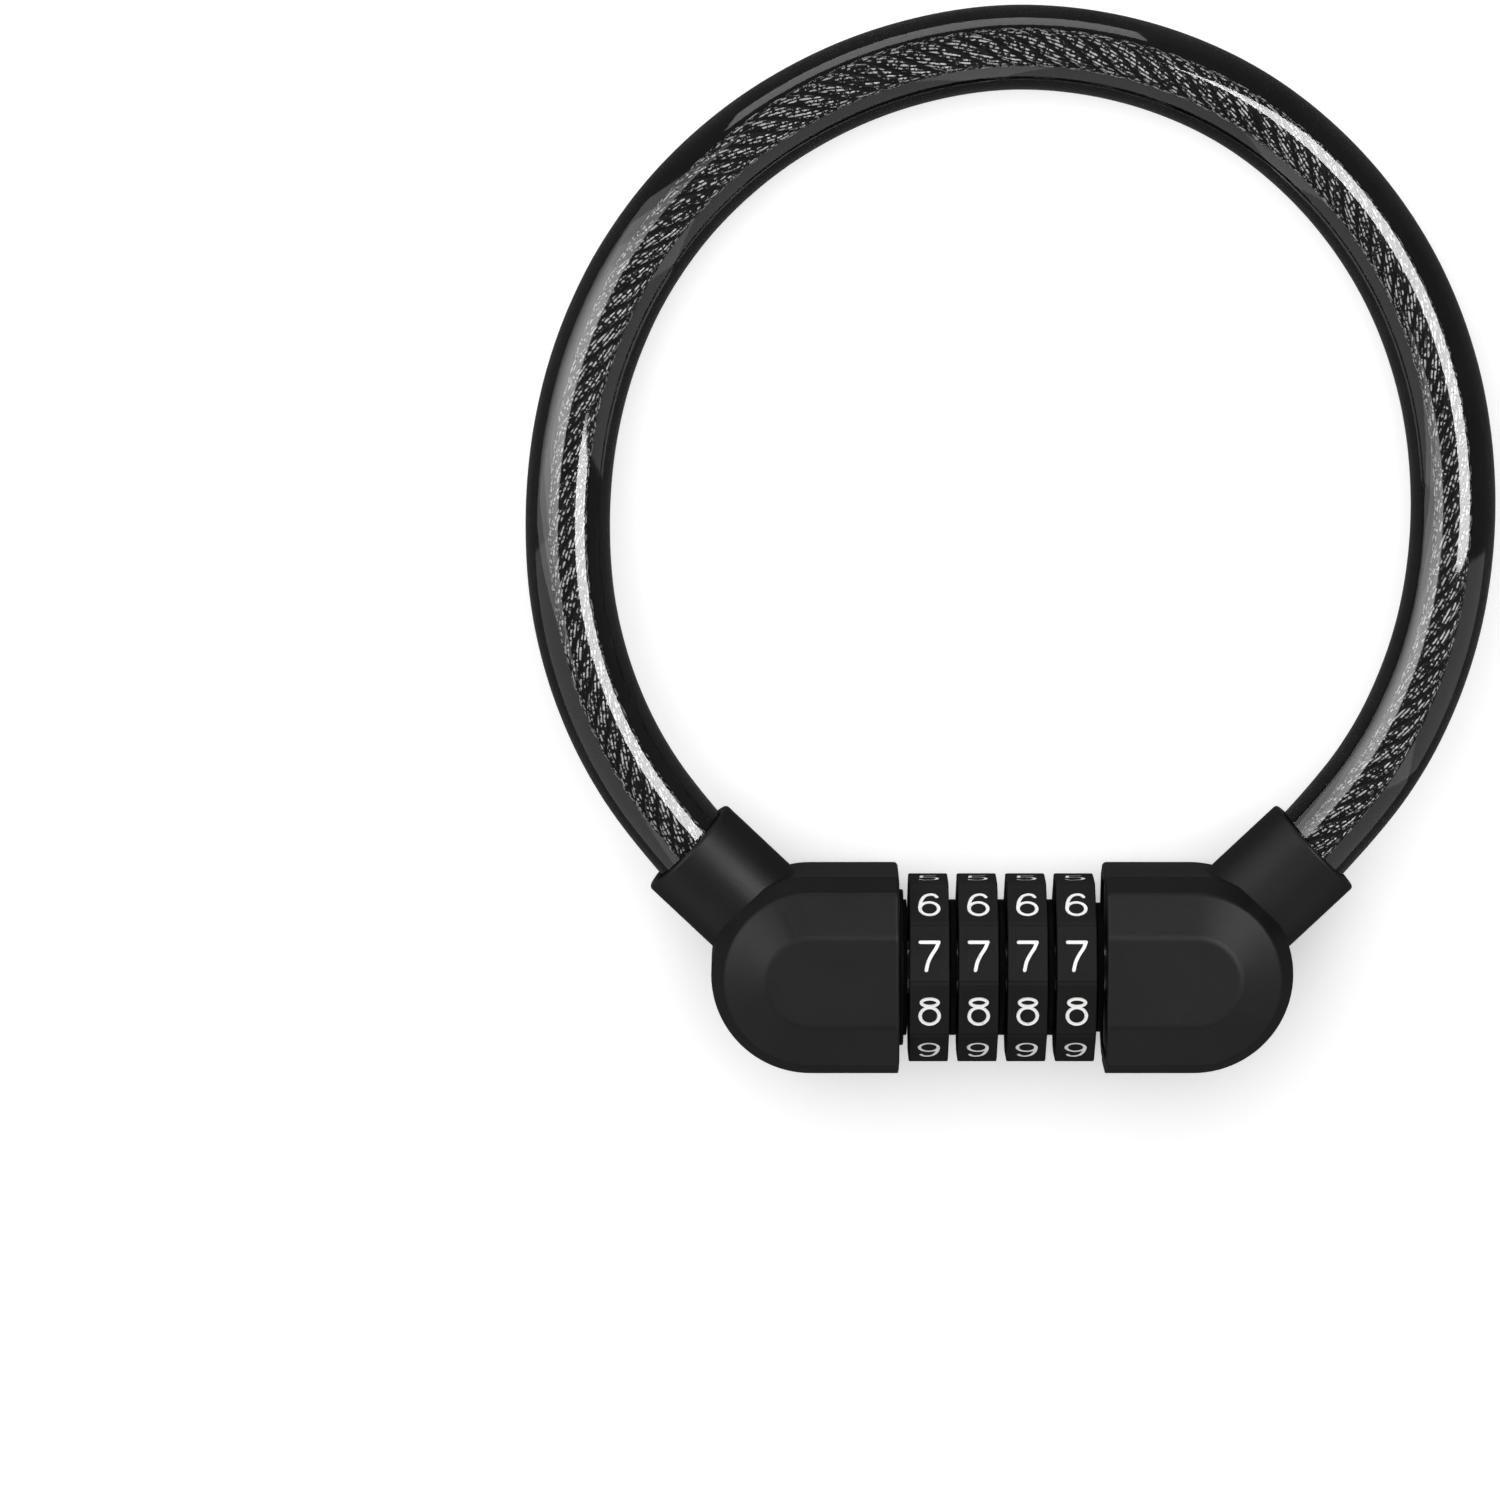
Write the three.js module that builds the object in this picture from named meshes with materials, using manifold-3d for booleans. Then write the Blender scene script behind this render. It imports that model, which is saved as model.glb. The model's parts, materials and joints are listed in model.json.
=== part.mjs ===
// A combination cable lock lying on its back. Two moulded heads close a loop of sheathed wire
// rope. Four number wheels turn on a slotted barrel in the left head, and the right head is a
// plug: its toothed pin slides out of the barrel when the notches of all four code rings line up.
//
// Units are millimetres. Everything is drawn about the dial axis, which is the X axis here, with
// +Y towards the far end of the loop and +Z up. The last lines put the whole lock on its base.

import * as THREE from "three";
import { mergeVertices } from "three/addons/utils/BufferGeometryUtils.js";
import Module from "manifold-3d";

const wasm = await Module();
wasm.setup();

// ---- Driving dimensions ----

const GAP = 0.3; // between pieces that don't run on each other
const FAR = 100; // reach of a cutting block that only has to be large

// Heads: a D in plan, with a bevel, a sloping facet and a flat plateau on both faces.
const AXIS_HEIGHT = 14; // half the heads' depth
const HEAD_CENTRE = 27.1; // from the middle of the lock to the centre of a head's round end
const HEAD_FACE = 14.6; // from the middle of the lock to a head's flat inner face
const HEAD_OUTER = { side: 14.1, sideTop: 7, facet: 12.3, facetTop: 11, plateau: 6.45, top: AXIS_HEIGHT };
const HEAD_CAVITY = { side: 12.3, sideTop: 6.6, facet: 10.9, facetTop: 9.8, plateau: 6.1, top: 12.2 };
const PAD = { length: 6.5, proud: 0.35, halfWidth: 5 };

// Collars, where the cable leaves the heads.
const COLLAR_ANGLE = THREE.MathUtils.degToRad(43.5);
const COLLAR_CENTRE = 26.1; // from the middle of the lock to where the collar's axis meets the dial axis
const COLLAR_RADIUS = 8;
const COLLAR_END = 25.4; // from the collar's centre, as are the six below
const FERRULE_START = 3.5;
const FERRULE_END = 13.3;
const GROOVE_START = 8;
const GROOVE_END = 10.2;
const WIRE_START = 4.5;
const SHEATH_START = 14;
const FERRULE_RADIUS = 4.8;
const FERRULE_BORE = 3.35;
const GROOVE_RADIUS = 3.9;
const COLLAR_BORE = 6.6;

// Die-cast cores inside the heads.
const CORE_RADIUS = 11.9;
const CORE_HALF_DEPTH = 6.4;
const CORE_FACE = HEAD_FACE + GAP;
const DOWEL_RADIUS = 0.9;
const DOWEL_HALF_LENGTH = 6.2;
const CROSS_PIN_RADIUS = 0.8;
const CROSS_PIN_X = 20;

// Dial pack.
const DIALS = 4;
const FACETS = 10;
const PITCH = 6.92;
const WHEEL_WIDTH = 5.6;
const WHEEL_RADIUS = 13.6; // to the corners
const WHEEL_BORE = 7.3;
const RING_WIDTH = 4;
const RING_RADIUS = 7;
const RING_BORE = 4;
const FLUTE_RADIUS = 4.4;
const SPLINES = 5;
const SPLINE_HEIGHT = 0.9;
const SPLINE_WIDTH = 1.6;
const WASHER_RADIUS = 9.67;
const WASHER_THICKNESS = 0.9;
const FLANGE_RADIUS = 11.1;
const CLIP_RADIUS = 9.2;

// Barrel, and the toothed pin in it.
const BARREL_RADIUS = 3.7;
const BARREL_BORE = 2.2;
const BARREL_START = -24;
const BARREL_END = 16.4;
const BARREL_SLOT = { start: -15.2, width: 2.6 };
const RUNNING_BORE = BARREL_RADIUS + 0.2;
const CLIP_GROOVE = { start: 13.3, end: 14.5, radius: 3.3 };
const PIN_RADIUS = 1.9;
const PIN_START = -16.2;
const PIN_END = 24;
const TOOTH = { length: 1.2, width: 2, reach: 5 };
const NOTCH = { width: 3, radius: 5.6 };
const SPRING = { halfLength: 12.6, bottom: 3.15, top: 3.4, bump: 3.75, width: 2 };

// Cable: a wire rope in a clear sheath.
const SHEATH_RADIUS = 6;
const SHEATH_BORE = 3.4;
const WIRE_RADIUS = 3;
const CABLE_STEPS = 44;

// The cable's free route from the left collar to the right one. It leaves the collars at the
// height of the dial axis and settles until its far end lies on the surface under the heads.
const CABLE_ROUTE = [
  [-51.1, 26.8, -0.1],
  [-57, 38.2, -0.5],
  [-60.5, 50.5, -1.4],
  [-61.5, 63.3, -2.5],
  [-60.4, 76, -3.8],
  [-57.2, 88, -5],
  [-51.6, 99.6, -6],
  [-43.2, 110.4, -6.9],
  [-31.5, 119.9, -7.5],
  [-16.5, 127, -7.85],
  [0.5, 130.2, -7.95],
  [17.5, 128.4, -7.9],
  [33, 122.2, -7.65],
  [45.8, 112.1, -7.1],
  [55.6, 98.9, -6.1],
  [61.6, 83.8, -4.6],
  [63.8, 67.8, -3],
  [62.6, 52.4, -1.6],
  [58.8, 39.5, -0.7],
  [52.6, 27.9, -0.1],
];

// ---- Materials ----

const finish = (color, roughness, metalness) =>
  new THREE.MeshStandardMaterial({ color, roughness, metalness, flatShading: true });
const shellPlastic = finish(0x242424, 0.62, 0);
const wheelPlastic = finish(0x1e1e1e, 0.45, 0);
const hubPlastic = finish(0x141414, 0.5, 0);
const casting = finish(0x8b8b88, 0.55, 0.8);
const steel = finish(0xb4b4b2, 0.3, 1);
const wireSteel = finish(0x9a9a98, 0.35, 1);
const sheathVinyl = finish(0x1c1c1e, 0.12, 0);
sheathVinyl.transparent = true;
sheathVinyl.opacity = 0.7;

// ---- Solids: booleans on closed meshes ----

function solid(geometry) {
  const bare = geometry.clone();
  bare.deleteAttribute("normal");
  bare.deleteAttribute("uv");
  const merged = mergeVertices(bare, 1e-4);
  return new wasm.Manifold(
    new wasm.Mesh({
      numProp: 3,
      vertProperties: new Float32Array(merged.attributes.position.array),
      triVerts: new Uint32Array(merged.index.array),
    }),
  );
}

function geometryOf(manifold) {
  const made = manifold.getMesh();
  const geometry = new THREE.BufferGeometry();
  geometry.setAttribute("position", new THREE.BufferAttribute(made.vertProperties, 3));
  geometry.setIndex(new THREE.BufferAttribute(made.triVerts, 1));
  return geometry;
}

const cut = (body, ...tools) => tools.reduce((left, tool) => left.subtract(tool), body);

function block([x0, y0, z0], [x1, y1, z1]) {
  const box = new THREE.BoxGeometry(x1 - x0, y1 - y0, z1 - z0);
  return solid(box.translate((x0 + x1) / 2, (y0 + y1) / 2, (z0 + z1) / 2));
}

// An outline in the plane across the dial axis, as [y, z] points, drawn out from x0 to x1.
const ACROSS_AXIS = new THREE.Matrix4().makeBasis(
  new THREE.Vector3(0, 1, 0),
  new THREE.Vector3(0, 0, 1),
  new THREE.Vector3(1, 0, 0),
);

function shapeOf(points, holes = []) {
  const toVectors = (list) => list.map(([u, v]) => new THREE.Vector2(u, v));
  const shape = new THREE.Shape(toVectors(points));
  shape.holes = holes.map((hole) => new THREE.Path(toVectors(hole)));
  return shape;
}

function alongAxis(points, x0, x1, holes = []) {
  const options = { depth: x1 - x0, bevelEnabled: false };
  const geometry = new THREE.ExtrudeGeometry(shapeOf(points, holes), options);
  return geometry.applyMatrix4(ACROSS_AXIS).translate(x0, 0, 0);
}

function rodAlongAxis(radius, x0, x1, sides = 24) {
  const rod = new THREE.CylinderGeometry(radius, radius, x1 - x0, sides);
  return solid(rod.rotateZ(-Math.PI / 2).translate((x0 + x1) / 2, 0, 0));
}

function uprightRod(radius, halfLength, x = 0, y = 0, sides = 14) {
  const rod = new THREE.CylinderGeometry(radius, radius, 2 * halfLength, sides);
  return rod.rotateX(Math.PI / 2).translate(x, y, 0);
}

// ---- Outlines across the dial axis ----

const polar = (radius, angle) => [radius * Math.cos(angle), radius * Math.sin(angle)];

function circle(radius, sides, phase = 0) {
  return Array.from({ length: sides }, (_, k) => polar(radius, phase + (2 * Math.PI * k) / sides));
}

// A round bore with a square notch on its lower side, where the pin's teeth pass.
function notchedBore(radius, between) {
  const half = NOTCH.width / 2;
  const opening = Math.asin(half / radius);
  const start = -Math.PI / 2 + opening;
  const sweep = 2 * Math.PI - 2 * opening;
  const arc = Array.from({ length: between + 1 }, (_, k) => polar(radius, start + (sweep * k) / between));
  return [...arc, [-half, -NOTCH.radius], [half, -NOTCH.radius]];
}

// A code ring's bore: the same notch, and a flute for the click spring at every other number.
function flutedBore() {
  const half = NOTCH.width / 2;
  const flank = THREE.MathUtils.degToRad(8);
  const floor = THREE.MathUtils.degToRad(3);
  const points = [[half, -NOTCH.radius], [half, -Math.sqrt(RING_BORE ** 2 - half ** 2)]];
  for (let k = 1; k < FACETS; k += 1) {
    const middle = -Math.PI / 2 + (2 * Math.PI * k) / FACETS;
    points.push(polar(RING_BORE, middle - flank), polar(FLUTE_RADIUS, middle - floor));
    points.push(polar(FLUTE_RADIUS, middle + floor), polar(RING_BORE, middle + flank));
  }
  points.push([-half, -Math.sqrt(RING_BORE ** 2 - half ** 2)], [-half, -NOTCH.radius]);
  return points;
}

// A circle with square teeth, for the splines between a code ring and its number wheel.
function splinedCircle(radius, toothHeight, toothWidth, between = 4) {
  const root = Math.asin(toothWidth / 2 / radius);
  const tip = Math.asin(toothWidth / 2 / (radius + toothHeight));
  const span = (2 * Math.PI) / SPLINES;
  const points = [];
  for (let k = 0; k < SPLINES; k += 1) {
    const middle = Math.PI / 2 + span * k;
    points.push(polar(radius, middle - root), polar(radius + toothHeight, middle - tip));
    points.push(polar(radius + toothHeight, middle + tip), polar(radius, middle + root));
    for (let step = 1; step < between; step += 1) {
      points.push(polar(radius, middle + root + ((span - 2 * root) * step) / between));
    }
  }
  return points;
}

// ---- Heads ----

// The frame of a collar: +Y is the way the cable leaves.
function collarFrame(side) {
  const frame = new THREE.Object3D();
  frame.position.set(side * COLLAR_CENTRE, 0, 0);
  frame.rotation.z = -side * (Math.PI / 2 - COLLAR_ANGLE);
  frame.updateMatrix();
  return frame.matrix;
}

function collarRod(side, radius, start, end, sides = 32) {
  const rod = new THREE.CylinderGeometry(radius, radius, end - start, sides);
  return solid(rod.translate(0, (start + end) / 2, 0).applyMatrix4(collarFrame(side)));
}

// The D-shaped body of a head, or of its cavity: one section swept round the end, and straight
// from there to the inner face.
function headBody(side, section, face) {
  const upper = [
    [section.side, section.sideTop],
    [section.facet, section.facetTop],
    [section.plateau, section.top],
  ];
  const lower = upper.map(([r, z]) => [r, -z]).reverse();
  const outline = [[0, -section.top], ...lower, ...upper, [0, section.top]];
  const profile = outline.map(([r, z]) => new THREE.Vector2(r, z));
  const lathe = new THREE.LatheGeometry(profile, 44);
  const roundEnd = solid(lathe.rotateX(Math.PI / 2).translate(side * HEAD_CENTRE, 0, 0));
  const mirrored = [...lower, ...upper].map(([r, z]) => [-r, z]).reverse();
  const ends = [side * HEAD_CENTRE, side * face].sort((a, b) => a - b);
  const straight = solid(alongAxis([...lower, ...upper, ...mirrored], ...ends));
  const beyond = [side * face, side * (face - FAR)].sort((a, b) => a - b);
  return roundEnd.add(straight).subtract(block([beyond[0], -FAR, -FAR], [beyond[1], FAR, FAR]));
}

function headShell(side, facing) {
  const xs = [side * HEAD_FACE, side * (HEAD_FACE + PAD.length)].sort((a, b) => a - b);
  const padOuter = -HEAD_OUTER.side - PAD.proud;
  const pad = block([xs[0], padOuter, -PAD.halfWidth], [xs[1], -HEAD_CAVITY.side - GAP, PAD.halfWidth]);
  const body = headBody(side, HEAD_OUTER, HEAD_FACE);
  const whole = body.add(collarRod(side, COLLAR_RADIUS, FERRULE_START, COLLAR_END)).add(pad);
  const cavity = headBody(side, HEAD_CAVITY, HEAD_FACE - 1);
  const bore = collarRod(side, COLLAR_BORE, FERRULE_START, COLLAR_END + 1);
  const otherHalf = [facing > 0 ? -FAR : -GAP / 2, facing > 0 ? GAP / 2 : FAR];
  const away = block([-FAR, -FAR, otherHalf[0]], [FAR, FAR, otherHalf[1]]);
  return geometryOf(cut(whole, cavity, bore, away));
}

// The casting that fills a head, with the seats of the ferrule, its dowels and the cross pin.
function headCore(side, seats) {
  const arc = Array.from({ length: 25 }, (_, k) => {
    const angle = -Math.PI / 2 + (Math.PI * k) / 24;
    return [side * (HEAD_CENTRE + CORE_RADIUS * Math.cos(angle)), CORE_RADIUS * Math.sin(angle)];
  });
  const outline = [[side * CORE_FACE, -CORE_RADIUS], ...arc, [side * CORE_FACE, CORE_RADIUS]];
  const options = { depth: 2 * CORE_HALF_DEPTH, bevelEnabled: false };
  const slab = new THREE.ExtrudeGeometry(shapeOf(outline), options).translate(0, 0, -CORE_HALF_DEPTH);
  const ferruleSeat = collarRod(side, FERRULE_RADIUS + GAP, FERRULE_START - GAP, CORE_RADIUS + 2);
  const dowelHoles = dowelPlaces().map(([across, along]) => {
    const hole = uprightRod(DOWEL_RADIUS + GAP, CORE_HALF_DEPTH + 1, across, along);
    return solid(hole.applyMatrix4(collarFrame(side)));
  });
  const crossHole = solid(uprightRod(CROSS_PIN_RADIUS + GAP, CORE_HALF_DEPTH + 1, side * CROSS_PIN_X));
  return geometryOf(cut(solid(slab), ferruleSeat, crossHole, ...dowelHoles, ...seats));
}

// Two dowels cross each ferrule's groove, one on each side of it.
function dowelPlaces() {
  const across = GROOVE_RADIUS + GAP + DOWEL_RADIUS;
  const along = (GROOVE_START + GROOVE_END) / 2;
  return [[across, along], [-across, along]];
}

function ferrule() {
  const profile = [
    [FERRULE_BORE, FERRULE_START],
    [FERRULE_RADIUS, FERRULE_START],
    [FERRULE_RADIUS, GROOVE_START],
    [GROOVE_RADIUS, GROOVE_START],
    [GROOVE_RADIUS, GROOVE_END],
    [FERRULE_RADIUS, GROOVE_END],
    [FERRULE_RADIUS, FERRULE_END],
    [FERRULE_BORE, FERRULE_END],
    [FERRULE_BORE, FERRULE_START],
  ];
  return new THREE.LatheGeometry(profile.map(([r, y]) => new THREE.Vector2(r, y)), 24);
}

// ---- Barrel and pin ----

function barrel() {
  const tube = solid(alongAxis(circle(BARREL_RADIUS, 24), BARREL_START, BARREL_END, [circle(BARREL_BORE, 24)]));
  const half = BARREL_SLOT.width / 2;
  const slot = block([BARREL_SLOT.start, -half, -FAR], [BARREL_END + 1, half, 0]);
  const bedHalf = SPRING.width / 2 + 0.2;
  const bedEnd = SPRING.halfLength + GAP;
  const springBed = block([-bedEnd, -bedHalf, SPRING.bottom - 0.25], [bedEnd, bedHalf, FAR]);
  const pinHole = solid(uprightRod(CROSS_PIN_RADIUS + GAP, CORE_HALF_DEPTH, -CROSS_PIN_X));
  const sleeve = alongAxis(circle(BARREL_RADIUS + 1, 24), CLIP_GROOVE.start, CLIP_GROOVE.end, [
    circle(CLIP_GROOVE.radius, 24),
  ]);
  return geometryOf(cut(tube, slot, springBed, pinHole, solid(sleeve)));
}

// A leaf spring on top of the barrel, with one bump that clicks into each code ring.
function detentSpring() {
  const outline = [[-SPRING.halfLength, SPRING.bottom], [SPRING.halfLength, SPRING.bottom]];
  outline.push([SPRING.halfLength, SPRING.top]);
  for (let i = DIALS; i >= 1; i -= 1) {
    const x = dialX(i);
    outline.push([x + 1.2, SPRING.top], [x + 0.4, SPRING.bump]);
    outline.push([x - 0.4, SPRING.bump], [x - 1.2, SPRING.top]);
  }
  outline.push([-SPRING.halfLength, SPRING.top]);
  const options = { depth: SPRING.width, bevelEnabled: false };
  const strip = new THREE.ExtrudeGeometry(shapeOf(outline), options);
  return strip.rotateX(Math.PI / 2).translate(0, SPRING.width / 2, 0);
}

// The pin's teeth wait just to the left of each code ring while the lock is closed.
function plugPin() {
  let pin = rodAlongAxis(PIN_RADIUS, PIN_START, PIN_END, 16);
  for (let i = 1; i <= DIALS; i += 1) {
    const x = dialX(i) - PITCH / 2;
    const half = TOOTH.width / 2;
    pin = pin.add(block([x - TOOTH.length / 2, -half, -TOOTH.reach], [x + TOOTH.length / 2, half, 0]));
  }
  return geometryOf(cut(pin, solid(uprightRod(CROSS_PIN_RADIUS + GAP, PIN_RADIUS + 1, CROSS_PIN_X))));
}

// ---- Dial pack ----

function dialX(i) {
  return (i - (DIALS + 1) / 2) * PITCH;
}

function numberWheel() {
  const corners = circle(WHEEL_RADIUS, FACETS, Math.PI / 2);
  const bore = splinedCircle(WHEEL_BORE, SPLINE_HEIGHT, SPLINE_WIDTH + 2 * GAP);
  return alongAxis(corners, -WHEEL_WIDTH / 2, WHEEL_WIDTH / 2, [bore]);
}

function codeRing() {
  const outline = splinedCircle(RING_RADIUS, SPLINE_HEIGHT, SPLINE_WIDTH);
  return alongAxis(outline, -RING_WIDTH / 2, RING_WIDTH / 2, [flutedBore()]);
}

function spacerWasher() {
  const half = WASHER_THICKNESS / 2;
  return alongAxis(circle(WASHER_RADIUS, 36), -half, half, [notchedBore(RUNNING_BORE, 22)]);
}

// The barrel's stepped flange: wide against the left head, narrower towards the first wheel.
function barrelFlange() {
  const start = -HEAD_FACE + 0.1;
  const step = start + 0.55;
  const end = -HEAD_FACE + 1.15;
  const wide = solid(alongAxis(circle(FLANGE_RADIUS, 36), start, step));
  const narrow = solid(alongAxis(circle(WASHER_RADIUS, 36), step - 0.1, end));
  const bore = solid(alongAxis(notchedBore(RUNNING_BORE, 22), start - 1, end + 1));
  return geometryOf(cut(wide.add(narrow), bore));
}

function retainingClip() {
  const start = CLIP_GROOVE.start + 0.15;
  const end = CLIP_GROOVE.end - 0.15;
  return alongAxis(circle(CLIP_RADIUS, 36), start, end, [notchedBore(CLIP_GROOVE.radius + 0.2, 22)]);
}

// ---- Cable ----

function collarPoint(side, distance) {
  const x = side * (COLLAR_CENTRE + distance * Math.cos(COLLAR_ANGLE));
  return new THREE.Vector3(x, distance * Math.sin(COLLAR_ANGLE), 0);
}

// Straight through the inner half of each collar, then along the free route.
function cableCurve(start) {
  const inside = [start, (SHEATH_START + COLLAR_END) / 2];
  const points = [
    ...inside.map((distance) => collarPoint(-1, distance)),
    ...CABLE_ROUTE.map((point) => new THREE.Vector3(...point)),
    ...inside.map((distance) => collarPoint(1, distance)).reverse(),
  ];
  return new THREE.CatmullRomCurve3(points, false, "centripetal");
}

function cableTube(start, outer, inner) {
  const options = { steps: CABLE_STEPS, extrudePath: cableCurve(start) };
  return new THREE.ExtrudeGeometry(shapeOf(outer, inner ? [inner] : []), options);
}

// ---- The scene graph ----

function piece(name, geometry, material) {
  const mesh = new THREE.Mesh(geometry, material);
  mesh.name = name;
  return mesh;
}

function buildCollarHardware(sideName, side) {
  const group = new THREE.Group();
  group.applyMatrix4(collarFrame(side));
  group.add(piece(`${sideName}_ferrule`, ferrule(), steel));
  dowelPlaces().forEach(([across, along], k) => {
    const dowel = piece(`${sideName}_ferrule_dowel_${k + 1}`, uprightRod(DOWEL_RADIUS, DOWEL_HALF_LENGTH), steel);
    dowel.position.set(across, along, 0);
    group.add(dowel);
  });
  return group;
}

function buildDialHead() {
  const group = new THREE.Group();
  const barrelSeat = rodAlongAxis(BARREL_RADIUS + GAP, BARREL_START - GAP, -CORE_FACE + 1);
  group.add(piece("left_front_shell", headShell(-1, 1), shellPlastic));
  group.add(piece("left_back_shell", headShell(-1, -1), shellPlastic));
  group.add(piece("left_core", headCore(-1, [barrelSeat]), casting));
  group.add(buildCollarHardware("left", -1));
  group.add(piece("barrel", barrel(), steel));
  const crossPin = piece("barrel_cross_pin", uprightRod(CROSS_PIN_RADIUS, DOWEL_HALF_LENGTH), steel);
  crossPin.position.x = -CROSS_PIN_X;
  group.add(crossPin);
  group.add(piece("barrel_flange", barrelFlange(), hubPlastic));
  group.add(piece("detent_spring", detentSpring(), steel));
  for (let i = 1; i < DIALS; i += 1) {
    const washer = piece(`spacer_washer_${i}`, spacerWasher(), hubPlastic);
    washer.position.x = dialX(i) + PITCH / 2;
    group.add(washer);
  }
  group.add(piece("retaining_clip", retainingClip(), hubPlastic));
  return group;
}

function buildDial(i) {
  const group = new THREE.Group();
  group.position.x = dialX(i);
  group.add(piece(`number_wheel_${i}`, numberWheel(), wheelPlastic));
  group.add(piece(`code_ring_${i}`, codeRing(), steel));
  return group;
}

function buildPlugHead() {
  const group = new THREE.Group();
  const pinSeat = rodAlongAxis(PIN_RADIUS + GAP, CORE_FACE - 1, PIN_END + GAP);
  const barrelRecess = rodAlongAxis(BARREL_RADIUS + 2 * GAP, CORE_FACE - 1, BARREL_END + GAP);
  group.add(piece("right_front_shell", headShell(1, 1), shellPlastic));
  group.add(piece("right_back_shell", headShell(1, -1), shellPlastic));
  group.add(piece("plug_core", headCore(1, [pinSeat, barrelRecess]), casting));
  group.add(buildCollarHardware("right", 1));
  group.add(piece("plug_pin", plugPin(), steel));
  const crossPin = piece("plug_cross_pin", uprightRod(CROSS_PIN_RADIUS, DOWEL_HALF_LENGTH), steel);
  crossPin.position.x = CROSS_PIN_X;
  group.add(crossPin);
  return group;
}

function buildCable() {
  const group = new THREE.Group();
  const sheath = cableTube(SHEATH_START, circle(SHEATH_RADIUS, 12), circle(SHEATH_BORE, 12));
  group.add(piece("cable_sheath", sheath, sheathVinyl));
  group.add(piece("cable_core", cableTube(WIRE_START, circle(WIRE_RADIUS, 10)), wireSteel));
  return group;
}

// The origin lies under the middle of the heads, on the surface that they rest on.
const collarCorner = COLLAR_END * Math.sin(COLLAR_ANGLE) + COLLAR_RADIUS * Math.cos(COLLAR_ANGLE);
const padEdge = -HEAD_OUTER.side - PAD.proud;

const lock = new THREE.Group();
lock.name = "cable_luggage_lock";
lock.position.set(0, -(collarCorner + padEdge) / 2, AXIS_HEIGHT);
lock.add(buildDialHead());
for (let i = 1; i <= DIALS; i += 1) lock.add(buildDial(i));
lock.add(buildPlugHead());
lock.add(buildCable());

export default lock;
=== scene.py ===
"""Looks of a four-dial combination cable lock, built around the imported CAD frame.

Shapes are drawn in millimetres about the dial axis, as in the CAD source, and put into the row
frame, in metres, by place(). Lengths named here are millimetres unless they say otherwise.
"""

import json
import math

import bmesh
import bpy
import numpy as np
from mathutils import Matrix, Vector


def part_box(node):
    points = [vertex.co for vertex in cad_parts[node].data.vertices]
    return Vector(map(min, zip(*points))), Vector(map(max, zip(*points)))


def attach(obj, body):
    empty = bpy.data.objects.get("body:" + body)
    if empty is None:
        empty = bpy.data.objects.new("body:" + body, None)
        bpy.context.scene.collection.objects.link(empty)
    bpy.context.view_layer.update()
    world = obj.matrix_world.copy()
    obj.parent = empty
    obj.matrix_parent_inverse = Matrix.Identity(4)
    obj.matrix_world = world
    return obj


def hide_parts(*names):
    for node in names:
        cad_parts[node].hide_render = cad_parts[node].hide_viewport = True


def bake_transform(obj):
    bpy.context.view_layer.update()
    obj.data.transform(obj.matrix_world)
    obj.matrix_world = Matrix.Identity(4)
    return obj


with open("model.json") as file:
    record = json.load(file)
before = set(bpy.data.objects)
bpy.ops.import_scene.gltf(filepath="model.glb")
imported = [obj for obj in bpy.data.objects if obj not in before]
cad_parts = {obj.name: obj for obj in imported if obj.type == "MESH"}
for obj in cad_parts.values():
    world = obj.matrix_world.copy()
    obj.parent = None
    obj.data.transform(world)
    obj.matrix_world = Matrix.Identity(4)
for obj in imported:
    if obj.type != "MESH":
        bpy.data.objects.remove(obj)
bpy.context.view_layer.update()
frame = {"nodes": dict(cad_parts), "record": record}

MM = 0.001
flange_low, flange_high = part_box("barrel_flange")
AXIS_Y = (flange_low.y + flange_high.y) / 2
AXIS_Z = (flange_low.z + flange_high.z) / 2
TO_ROW_FRAME = Matrix.Translation((0, AXIS_Y, AXIS_Z)) @ Matrix.Scale(MM, 4)

# ---- Dimensions, as in the CAD source ----

HEAD_CENTRE = 27.1
HEAD_FACE = 14.6
HEAD_OUTER = [(14.1, 7.0), (12.3, 11.0), (6.45, 14.0)]
HEAD_CAVITY = [(12.3, 6.6), (10.9, 9.8), (6.1, 12.2)]
SEAM = 0.15
PAD_LENGTH, PAD_PROUD, PAD_HALF = 6.5, 0.35, 5.0

COLLAR_ANGLE = math.radians(43.5)
COLLAR_CENTRE = 26.1
COLLAR_RADIUS = 8.0
COLLAR_START = 3.5
COLLAR_END = 25.4
COLLAR_BORE = 6.6
WIRE_START = 4.5
SHEATH_START = 14.0

DIALS = 4
FACETS = 10
PITCH = 6.92
WHEEL_WIDTH = 5.6
WHEEL_RADIUS = 13.6
WHEEL_BORE = 7.3
SPLINE_HEIGHT = 0.9
SPLINE_WIDTH = 2.2
WASHER_RADIUS = 9.67
WASHER_THICKNESS = 0.9
RUNNING_BORE = 3.9
NOTCH_HALF, NOTCH_DEPTH = 1.5, 5.6

# The stranded rope is thinner than the CAD's solid rod, and its bore fits closer round it.
SHEATH_RADIUS = 6.0
SHEATH_BORE = 3.05
ROPE_RADIUS = 2.75

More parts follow.
